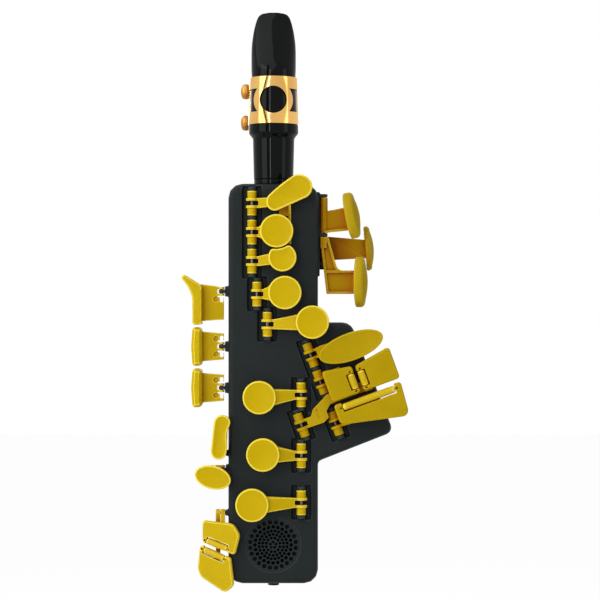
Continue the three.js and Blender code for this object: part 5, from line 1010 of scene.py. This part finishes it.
class CONTROLLER_OT_ligature(bpy.types.Operator):
    """Form the pierced gold band and its two ribbed screws"""

    bl_idname = "controller.ligature"
    bl_label = "Ligature"

    def execute(self, context):
        band = drawn("ligature_band", add_turned, DRAWING, soft_profile(BAND_PROFILE, 0.2, closed=True), 144)
        out = DRAWING @ placed(Matrix.Identity(4), 0, BAND_MIDDLE, 0, 90)
        hole = drawn("band_hole", add_turned, out, [(0, 0), (BAND_HOLE, 0), (BAND_HOLE, 30), (0, 30)], 96)
        windows = drawn("band_windows", add_box, DRAWING, (-20, BAND_FOOT + BAND_BRIDGE, -3.3),
                        (20, BAND_TOP - BAND_BRIDGE, 30))
        carved(windows, drawn("ring_zone", add_turned, out,
                              [(0, -20), (BAND_RING, -20), (BAND_RING, 40), (0, 40)], 96))
        gap = drawn("band_gap", add_box, DRAWING, (-BAND_GAP, BAND_FOOT - 2, -30),
                    (BAND_GAP, BAND_TOP + 2, -2))
        edged(carved(band, hole, windows, gap), BAND_EDGE, angle=40)
        lugs = bmesh.new()
        for height in LIGATURE_SCREWS.values():
            along = DRAWING @ placed(Matrix.Identity(4), 0, height, LIGATURE_SCREW_DEPTH, -90, "Z")
            for ends in ((-LUG_END, -BAND_GAP), (BAND_GAP, LUG_END)):
                add_turned(lugs, along, tube(LUG_BORE, LUG_RADIUS, *ends, 0.2), 40)
                add_box(lugs, DRAWING,
                        (ends[0], height - LUG_BLOCK_HALF, LIGATURE_SCREW_DEPTH + LUG_BLOCK_RISE),
                        (ends[1], height + LUG_BLOCK_HALF, LUG_BLOCK_FRONT))
        lugs = edged(object_of("ligature_lugs", lugs), LUG_EDGE, angle=40)
        ready(band, "gold", "ligature", "mouthpiece")
        ready(lugs, "gold", body="mouthpiece")
        ridges = ribbed(sizes().knob_ridges, KNOB_RIDGE, KNOB_RIDGES_FROM)
        for name, height in LIGATURE_SCREWS.items():
            place = placed(DRAWING, 0, height, LIGATURE_SCREW_DEPTH, -90, "Z")
            screw = turned(name + "_turning", place, soft_profile(KNOB_PROFILE, 0.6), steps=176,
                           ripple=ridges)
            ready(screw, "knob_gold", name, name)
        return {"FINISHED"}


# ---- Hinge rods, keys and rollers ----

# Half length of each rod, and the turn of its axis in degrees
RODS = {
    "upper_stack_rod": (24.375, 0), "a_key_rod": (8.725, 0), "g_key_rod": (8.725, 0),
    "f_key_rod": (8.725, 0), "e_key_rod": (8.725, 0), "d_key_rod": (8.725, 0), "table_upper_rod": (16.55, 20),
    "low_b_rod": (8.725, 20), "low_b_flat_rod": (8.725, 20), "octave_rod": (7.1, 90),
}
ROD_RADIUS = 0.9
ROD_SLOT_HALF = 0.16
ROD_SLOT_DEPTH = 0.45


class CONTROLLER_OT_rods(bpy.types.Operator):
    """Turn the steel hinge rods with slotted ends"""

    bl_idname = "controller.rods"
    bl_label = "Hinge rods"

    def execute(self, context):
        for node, (half, turn) in RODS.items():
            low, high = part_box(node)
            place = placed(upright((Vector(low) + Vector(high)) / 2), 0, 0, 0, turn, "Z")
            rod = drawn(node + "_turning", add_turned, place, pin(ROD_RADIUS, -half, half, 0.25), 32)
            carved(rod, *(drawn("rod_slot", add_box, place, (-ROD_SLOT_HALF, end - ROD_SLOT_DEPTH, -2),
                                (ROD_SLOT_HALF, end + ROD_SLOT_DEPTH, 2)) for end in (-half, half)))
            ready(shaded(rod), "rod_steel", node)
        return {"FINISHED"}


# The CAD form of a touch is shrunk to a share of its size, from a little outside the new touch's outline,
# and kept above the new one's foot and below its top. The new one goes down into the arm by the cover.
TUCK_REACH = 1.2
TUCK_FROM = 0.4
TUCK_TOP = 1.2
TUCKED = 0.9
COVER = 0.02
BARREL_RADIUS, BARREL_BORE, BARREL_HALF = 2.5, 1.7, 6.625
PRONG_RADIUS, PRONG_BORE, PRONG_THICKNESS = 3.25, 2.1, 1.4
SLOT_HALF = 1.25


class Pad:
    """A finger touch in its own frame, laid over the plain one of the CAD key."""

    def __init__(self, place, outline, low, high, **form):
        self.place, self.outline, self.low, self.high, self.form = place, outline, low, high, form

    def tuck(self, shape):
        """Shrinks the CAD touch until this one hides it."""
        back = self.place.inverted()
        middle = middle_of(self.outline)
        around = drawn_in(self.outline, -TUCK_REACH)
        for vertex in shape.verts:
            at = back @ vertex.co
            flat = Vector((at.x, at.y))
            if at.z > self.low - COVER and encloses(around, flat):
                flat = middle.lerp(flat, TUCKED)
                depth = min(max(at.z, self.low + TUCK_FROM), self.high - TUCK_TOP)
                vertex.co = self.place @ Vector((flat.x, flat.y, depth))

    def lay(self, shape):
        form = {"rim": sizes().touch_rim / MM, "lip": sizes().touch_lip / MM, "dish": sizes().touch_dish / MM}
        form.update(self.form)
        add_pad(shape, self.place, self.outline, self.low - COVER, self.high, **form)


def add_barrels(shape, place):
    """Round barrels and prongs over the many-sided ones of a forked key."""
    for hand in (-1, 1):
        inner, prong, outer = (hand * height for height in
                               (SLOT_HALF, SLOT_HALF + PRONG_THICKNESS, BARREL_HALF))
        for radius, bore, end in ((BARREL_RADIUS, BARREL_BORE, outer), (PRONG_RADIUS, PRONG_BORE, prong)):
            add_turned(shape, place, tube(bore, radius, *sorted((inner, end)), 0.2), 56)


def moulded_key(node, *pads, grid=None, passes=5, forked=False, finish="key_plastic"):
    """A key as one soft-edged moulding of its CAD solid, with finely turned touches laid over it."""
    shape = cad_shape(node)
    if forked:
        add_barrels(shape, hinge_frame(node.replace("_key", "_press")))
    for pad in pads:
        pad.tuck(shape)
    obj = skinned(object_of(node + "_moulding", shape), grid or sizes().key_grid, passes, 0.5)
    if pads:
        shape = shape_of(obj.data)
        for pad in pads:
            pad.lay(shape)
        shape.to_mesh(obj.data)
        shape.free()
        obj.data.polygons.foreach_set("use_smooth", [True] * len(obj.data.polygons))
    ready(obj, finish, node, node)


TOUCH_LOW, TOUCH_HIGH = 5.8, 8.5
SHARP_LOW, SHARP_HIGH = 6.9, 9.9
TOUCH_RADIUS = 8.97
# Where each round touch sits, out from its hinge and up along it
ROUND_KEYS = {"b": (13.4, 0.5), "a": (15.1, 0.8), "g": (24.3, 1.2), "f": (22.5, 1.2), "e": (20.6, -0.9),
              "d": (26.4, 0.7)}
# The bis touch's middle and radius, and the middle, radius and softness of its hollow
BIS_MIDDLE, BIS_RADIUS, BIS_HOLLOW = (16.5, 1.9), 7.6, ((13.4, 16.15), 9.65, 0.9)
# The middles and radii of the front F touch's ends, and how far its upper side is filled out
FRONT_F_START, FRONT_F_END, FRONT_F_RADII = (12.4, 0.1), (26.3, 8.4), (4.47, 6.32)
FRONT_F_BULGE = 1.2


class CONTROLLER_OT_front_keys(bpy.types.Operator):
    """Mould the stack keys on the face"""

    bl_idname = "controller.front_keys"
    bl_label = "Front keys"

    def execute(self, context):
        outlines = {name: circle(*place, TOUCH_RADIUS, OUTLINE_STEPS) for name, place in ROUND_KEYS.items()}
        outlines["bis"] = eased(hollowed(circle(*BIS_MIDDLE, BIS_RADIUS, steps=120), *BIS_HOLLOW), passes=12)
        straight = lobe(*FRONT_F_START, FRONT_F_RADII[0], *FRONT_F_END, FRONT_F_RADII[1])
        outlines["front_f"] = swollen(straight, FRONT_F_START, FRONT_F_END, *FRONT_F_RADII, FRONT_F_BULGE)
        for name, outline in outlines.items():
            touch = Pad(hinge_frame(name + "_press"), outline, TOUCH_LOW, TOUCH_HIGH)
            moulded_key(name + "_key", touch, forked=True)
        return {"FINISHED"}


G_SHARP_MIDDLE, G_SHARP_HALVES = (21.9, -2.9), (18.02, 7.42)


class CONTROLLER_OT_table_keys(bpy.types.Operator):
    """Mould the left little-finger table"""

    bl_idname = "controller.table_keys"
    bl_label = "Little-finger table"

    def execute(self, context):
        oval = ellipse(*G_SHARP_MIDDLE, *G_SHARP_HALVES)
        moulded_key("g_sharp_key", Pad(hinge_frame("g_sharp_press"), oval, SHARP_LOW, SHARP_HIGH),
                    forked=True, finish="plate_plastic")
        for node in ("low_c_sharp_key", "low_b_key", "low_b_flat_key"):
            moulded_key(node, grid=sizes().plate_grid, forked=True, finish="plate_plastic")
        return {"FINISHED"}


# Each palm touch's height, thickness, lean and turn in degrees, and its place from the hinge
PALM_PADS = {
    "palm_d": (25.2, 6.8, 11.0, 14.0, (12.6, -0.65, 2.2)),
    "palm_e_flat": (24.6, 4.8, 4.6, 0.0, (22.8, 0.1, -3.6)),
    "palm_f": (27.4, 6.5, 0.0, 14.0, (17.3, -21.55, 2.2)),
}
PALM_PAD_DEPTH = 13.0
PALM_PAD_RIM = 0.9
PAD_CROWN = 1.9
PAD_RISE = 0.3


class CONTROLLER_OT_palm_keys(bpy.types.Operator):
    """Mould the palm keys on the right side"""

    bl_idname = "controller.palm_keys"
    bl_label = "Palm keys"

    def execute(self, context):
        for name, (height, width, lean, turn, middle) in PALM_PADS.items():
            place = (placed(upright_hinge(name + "_press"), *middle, lean, "Z")
                     @ Matrix.Rotation(math.radians(90 - turn), 4, "Y"))
            high = width - PAD_CROWN
            pad = Pad(place, ellipse(0, 0, PALM_PAD_DEPTH / 2, height / 2), low=0, high=high + PAD_RISE,
                      rim=PALM_PAD_RIM, lip=0.0, dish=PAD_RISE - PAD_CROWN,
                      crown_rim=(2.0, min(2.2, high - 0.8)))
            moulded_key(name + "_key", pad, finish="palm_plastic")
        return {"FINISHED"}


class CONTROLLER_OT_side_keys(bpy.types.Operator):
    """Mould the side keys on the left"""

    bl_idname = "controller.side_keys"
    bl_label = "Side keys"

    def execute(self, context):
        for node in ("side_e_key", "side_c_key", "side_b_flat_key"):
            moulded_key(node, grid=sizes().plate_grid, passes=10)
        return {"FINISHED"}


# The bean's two round ends, as x, y and radius, its hollow as for the bis key, and its place from the hinge
BEAN_ENDS, BEAN_HOLLOW, BEAN_OUT = (-4.9, 1.5, 4.3, -3.0, 16.8, 4.6), ((9.6, 9.6), 10.1, 0.9), 3.0
OVAL_MIDDLE, OVAL_HALVES, OVAL_TURN = (-4.7, -3.3), (9.92, 6.22), -15


class CONTROLLER_OT_edge_touches(bpy.types.Operator):
    """Mould the bean and the oval touch at the left edge"""

    bl_idname = "controller.edge_touches"
    bl_label = "Edge touches"

    def execute(self, context):
        bean = eased(hollowed(lobe(*BEAN_ENDS), *BEAN_HOLLOW), passes=8)
        place = placed(upright_hinge("high_f_sharp_press"), BEAN_OUT, 0, 0)
        moulded_key("high_f_sharp_key", Pad(place, bean, low=10.0, high=12.8))
        oval = ellipse(*OVAL_MIDDLE, *OVAL_HALVES, math.radians(OVAL_TURN))
        place = upright_hinge("side_f_sharp_press")
        moulded_key("side_f_sharp_key", Pad(place, oval, low=9.0, high=11.8))
        return {"FINISHED"}


class CONTROLLER_OT_little_keys(bpy.types.Operator):
    """Mould the right little-finger keys"""

    bl_idname = "controller.little_keys"
    bl_label = "Little-finger keys"

    def execute(self, context):
        for node in ("low_e_flat_key", "low_c_key"):
            moulded_key(node, grid=sizes().plate_grid)
        return {"FINISHED"}


# Length and radius of each roller
ROLLERS = {
    "low_c_sharp_roller": (8.3, 2.1), "low_b_roller": (8.3, 2.1), "low_b_flat_roller": (29.4, 2.1),
    "low_e_flat_roller": (12.4, 1.9), "low_c_roller": (12.4, 1.9),
}
ROLLER_EASE = 0.08
ROLLER_SHOULDER = 0.5
ROLLER_STEPS = 16
PIVOT_RADIUS = 0.7
PIVOT_REACH = 1.1


class CONTROLLER_OT_rollers(bpy.types.Operator):
    """Turn the rollers between the little-finger keys"""

    bl_idname = "controller.rollers"
    bl_label = "Rollers"

    def execute(self, context):
        bulge = sizes().roller_bulge / MM
        for node, (span, radius) in ROLLERS.items():
            joint = JOINTS[node + "_spin"]
            along = Vector((0, 1, 0)).rotation_difference(Vector(joint["axis"]).normalized())
            place = Matrix.Translation(joint["pos_m"]) @ along.to_matrix().to_4x4() @ Matrix.Scale(MM, 4)
            half = span / 2
            waist = radius - ROLLER_EASE
            shoulder = waist - bulge - ROLLER_SHOULDER
            barrel = [(waist - bulge * (2 * share) ** 2, 2 * share * (half - ROLLER_SHOULDER))
                      for share in (step / ROLLER_STEPS - 0.5 for step in range(ROLLER_STEPS + 1))]
            end = [(shoulder, half), (PIVOT_RADIUS, half), (PIVOT_RADIUS, half + PIVOT_REACH),
                   (0, half + PIVOT_REACH)]
            start = [(reach, -height) for reach, height in reversed(end)]
            roller = turned(node + "_turning", place, soft_profile(start + barrel + end, 0.3), steps=48)
            ready(roller, "key_plastic", node, node)
        return {"FINISHED"}


# ---- Back, foot and inside ----

STRAP_RING = (0, -DRAWING_HEIGHT, DRAWING_DEPTH)
STRAP_LOOP, STRAP_WIRE = 5.6, 1.17
# Radius, foot and top of the round base under the ring
STRAP_BASE = (5.02, -16.92, -15.28)
THUMB_REST = (0, 160, -15.3)
THUMB_REST_RADIUS = 8.52
THUMB_REST_HIGH, THUMB_REST_RIM, THUMB_REST_DISH = 2.6, 0.8, 0.16
RIB_PITCH, RIB_RADIUS, RIB_HEIGHT, RIB_FIELD = 1.7, 0.42, 2.35, 36
POWER_BUTTON = (12, 143, 0)
BUTTON_PROFILE = ((0, 12.4), (4.02, 12.4), (4.02, 16.62), (2.2, 16.62), (0, 16.4))
# Name, grid in metres, smoothing passes, finish and body of each fitting
FITTINGS = {
    "strap_ring": ("strap_ring_turning", 0.0002, 4, "steel", "housing"),
    "thumb_rest": ("thumb_rest_moulding", 0.0002, 3, "rubber", "housing"),
    "thumb_hook": ("thumb_hook_moulding", 0.00026, 6, "case_plastic", "housing"),
    "thumb_hook_screw": ("thumb_hook_screw_turning", 0.00016, 3, "steel", "thumb_hook_screw"),
    "power_button": ("power_button_moulding", 0.00018, 2, "rubber", "power_button"),
}


class CONTROLLER_OT_back(bpy.types.Operator):
    """Dress the thumb rest, thumb hook, strap ring, power button and octave key"""

    bl_idname = "controller.back"
    bl_label = "Back fittings"

    def execute(self, context):
        shapes = {node: cad_shape(node) for node in FITTINGS}
        add_turned(shapes["strap_ring"], placed(DRAWING, *STRAP_RING, 90, "Z"),
                   circle(STRAP_LOOP, 0, STRAP_WIRE, 24), 72)
        add_turned(shapes["strap_ring"], placed(DRAWING, *STRAP_RING[:2], 0, 90), pin(*STRAP_BASE, 0.5), 64)
        rest = placed(DRAWING, *THUMB_REST, 180, "Y")
        add_pad(shapes["thumb_rest"], rest, circle(0, 0, THUMB_REST_RADIUS, OUTLINE_STEPS), 0,
                THUMB_REST_HIGH, THUMB_REST_RIM, dish=THUMB_REST_DISH)
        for row in range(-3, 4):
            reach = math.sqrt(RIB_FIELD - (row * RIB_PITCH) ** 2)
            add_turned(shapes["thumb_rest"], placed(rest, 0, row * RIB_PITCH, RIB_HEIGHT, 90, "Z"),
                       pin(RIB_RADIUS, -reach, reach, 0.4), 16)
        add_turned(shapes["power_button"], placed(DRAWING, *POWER_BUTTON, -90),
                   soft_profile(BUTTON_PROFILE, 0.35), 64)
        for node, (name, grid, passes, finish, body) in FITTINGS.items():
            skinned_piece(name, shapes[node], grid, passes, finish, node, body)
        moulded_key("octave_key")
        return {"FINISHED"}


PLUG_PROFILE = ((0, -2.9), (3.0, -2.9), (3.0, -0.3), (2.1, -0.3), (2.1, 2.6), (0, 2.6))
PLUG_PLACE = (0, 0, -1.1)
PLUG_RIDGES, PLUG_RIDGE, PLUG_RIDGES_FROM = 18, 0.02, 2.9
SOCKET_GRID = 0.12 * MM


class CONTROLLER_OT_foot(bpy.types.Operator):
    """Turn the drain plug and dress the charging socket"""

    bl_idname = "controller.foot"
    bl_label = "Foot fittings"

    def execute(self, context):
        plug = turned("drain_plug_turning", placed(DRAWING, *PLUG_PLACE), soft_profile(PLUG_PROFILE, 0.4),
                      steps=64, ripple=ribbed(PLUG_RIDGES, PLUG_RIDGE, PLUG_RIDGES_FROM))
        ready(plug, "rubber", "drain_plug")
        skinned_piece("charging_socket", cad_shape("usb_socket"), SOCKET_GRID, 2, "steel", "usb_socket",
                      kept=0.5)
        return {"FINISHED"}


class CONTROLLER_OT_inside(bpy.types.Operator):
    """Finish the pieces sealed in the case"""

    bl_idname = "controller.inside"
    bl_label = "Inner pieces"

    def execute(self, context):
        for node, finish in (("main_board", "board_lacquer"), ("battery", "foil"), ("speaker", "recess_dark"),
                             ("breath_sensor", "rubber"), ("air_hose", "rubber")):
            for place in frame["nodes"][node].material_slots:
                place.material = FINISHES[finish]
        return {"FINISHED"}


# ---- Stage, in metres ----

AIM = Vector((0.005, -0.03, 0.03))
FLOOR_HEIGHT = -0.34
FLOOR_HALF = 4.0
FLOOR_WHITE = 0.97
PAPER_GRAIN = 0.01
PAPER_DARK, PAPER_LIGHT = (0.9, 0.9, 0.9, 1), (0.94, 0.94, 0.94, 1)
AMBIENT = 0.32
CARD_PLACE = (-0.39, -0.67, 0.25)
CARD_SIZE = (0.11, 1.2)
CAMERA_PLACE = (0.01455, -1.0519, 0.0217)
# Place, width, height and power of each lamp
LAMPS = {
    "left_lamp": ((-1.0, -0.9, 0.45), 0.9, 1.5, 10.0),
    "strip_lamp": ((-0.31, -1.05, 0.3), 0.035, 1.1, 2.6),
    "right_lamp": ((1.15, -0.7, 0.2), 0.45, 1.4, 3.0),
    "top_lamp": ((-0.6, -0.55, 1.2), 2.0, 1.0, 9.0),
    "rear_lamp": ((-0.2, 1.2, 0.5), 1.2, 1.2, 7.0),
}


def white_for_camera(tree, surface, output, share=1.0):
    """Feeds an output with a shader that camera, glossy and transmission rays see as plain white."""
    path = put(tree, "ShaderNodeLightPath", {})
    seen = computed(tree, "MAXIMUM", path["Is Camera Ray"], path["Is Glossy Ray"])
    seen = computed(tree, "MAXIMUM", seen, path["Is Transmission Ray"])
    white = put(tree, "ShaderNodeEmission", {"Color": (1, 1, 1, 1), "Strength": 1.0})
    part = computed(tree, "MULTIPLY", seen, share)
    feed(tree, tree.nodes[output], {
        "Surface": put(tree, "ShaderNodeMixShader", {0: part, 1: surface, 2: white[0]})[0]})


def flat_sheet(name, columns, rows, size, stretch=(1, 1)):
    """A flat rectangle for the stage."""
    shape = bmesh.new()
    bmesh.ops.create_grid(shape, x_segments=columns, y_segments=rows, size=size)
    bmesh.ops.scale(shape, vec=Vector((*stretch, 1)), verts=shape.verts)
    return object_of(name, shape)


def aimed(obj, place):
    """Moves a stage piece and turns it to the controller."""
    obj.location = place
    obj.rotation_euler = (AIM - Vector(place)).to_track_quat("-Z", "Y").to_euler()


class CONTROLLER_OT_stage(bpy.types.Operator):
    """Set the floor, the background, the lamps and the camera"""

    bl_idname = "controller.stage"
    bl_label = "Stage"

    def execute(self, context):
        scene = bpy.context.scene
        floor = flat_sheet("floor", 8, 8, FLOOR_HALF)
        floor.location.z = FLOOR_HEIGHT
        material, tree, shader = empty_finish("floor_paper", {"Roughness": 0.9})
        fleck = grain(tree, object_place(tree), PAPER_GRAIN, 3.0)
        feed(tree, shader, {"Base Color": mixed(tree, fleck, PAPER_DARK, PAPER_LIGHT)})
        white_for_camera(tree, shader.outputs[0], "Material Output", FLOOR_WHITE)
        floor.data.materials.append(material)

        world = bpy.data.worlds.new("studio")
        scene.world = world
        world.use_nodes = True
        ambient = world.node_tree.nodes["Background"]
        feed(world.node_tree, ambient, {"Color": (1, 1, 1, 1), "Strength": AMBIENT})
        white_for_camera(world.node_tree, ambient.outputs[0], "World Output")

        card = flat_sheet("dark_card", 4, 8, 0.5, CARD_SIZE)
        aimed(card, CARD_PLACE)
        card.visible_camera = card.visible_diffuse = card.visible_shadow = card.visible_transmission = False
        card.data.materials.append(FINISHES["recess_dark"])
        for name, (place, width, height, power) in LAMPS.items():
            lamp = bpy.data.lights.new(name, "AREA")
            lamp.shape = "RECTANGLE"
            lamp.size = width
            lamp.size_y = height
            lamp.energy = power * colours().lamp
            aimed(linked(name, lamp), place)

        camera = bpy.data.cameras.new("camera")
        camera.lens = sizes().lens
        camera.sensor_width = 36.0
        camera.clip_start = 0.01
        scene.camera = linked("camera", camera)
        scene.camera.location = CAMERA_PLACE
        scene.camera.rotation_euler = (math.pi / 2, 0, 0)
        scene.view_settings.view_transform = "Standard"
        return {"FINISHED"}


# ---- The add-on ----

OPERATORS = (
    CONTROLLER_OT_case, CONTROLLER_OT_palm_rails, CONTROLLER_OT_case_screws, CONTROLLER_OT_grille,
    CONTROLLER_OT_neck, CONTROLLER_OT_mouthpiece, CONTROLLER_OT_reed, CONTROLLER_OT_ligature,
    CONTROLLER_OT_rods, CONTROLLER_OT_front_keys, CONTROLLER_OT_table_keys, CONTROLLER_OT_palm_keys,
    CONTROLLER_OT_side_keys, CONTROLLER_OT_edge_touches, CONTROLLER_OT_little_keys, CONTROLLER_OT_rollers,
    CONTROLLER_OT_back, CONTROLLER_OT_foot, CONTROLLER_OT_inside, CONTROLLER_OT_stage,
)


class CONTROLLER_PT_pieces(bpy.types.Panel):
    """Lists the pieces, sizes and colours"""

    bl_label = "Wind controller"
    bl_idname = "CONTROLLER_PT_pieces"
    bl_space_type = "VIEW_3D"
    bl_region_type = "UI"
    bl_category = "Wind controller"

    def draw(self, context):
        for group in (sizes(), colours()):
            column = self.layout.column()
            for name in group.__annotations__:
                column.prop(group, name)
        for operator in OPERATORS:
            self.layout.operator(operator.bl_idname)


CLASSES = (ControllerSizes, ControllerColours, *OPERATORS, CONTROLLER_PT_pieces)


def register():
    for item in CLASSES:
        bpy.utils.register_class(item)
    bpy.types.Scene.controller_sizes = bpy.props.PointerProperty(type=ControllerSizes)
    bpy.types.Scene.controller_colours = bpy.props.PointerProperty(type=ControllerColours)


def unregister():
    del bpy.types.Scene.controller_colours
    del bpy.types.Scene.controller_sizes
    for item in reversed(CLASSES):
        bpy.utils.unregister_class(item)


def main():
    register()
    make_finishes()
    bpy.ops.controller.case()
    bpy.ops.controller.palm_rails()
    bpy.ops.controller.case_screws()
    bpy.ops.controller.grille()
    bpy.ops.controller.neck()
    bpy.ops.controller.mouthpiece()
    bpy.ops.controller.reed()
    bpy.ops.controller.ligature()
    bpy.ops.controller.rods()
    bpy.ops.controller.front_keys()
    bpy.ops.controller.table_keys()
    bpy.ops.controller.palm_keys()
    bpy.ops.controller.side_keys()
    bpy.ops.controller.edge_touches()
    bpy.ops.controller.little_keys()
    bpy.ops.controller.rollers()
    bpy.ops.controller.back()
    bpy.ops.controller.foot()
    bpy.ops.controller.inside()
    bpy.ops.controller.stage()


if __name__ == "__main__":
    main()
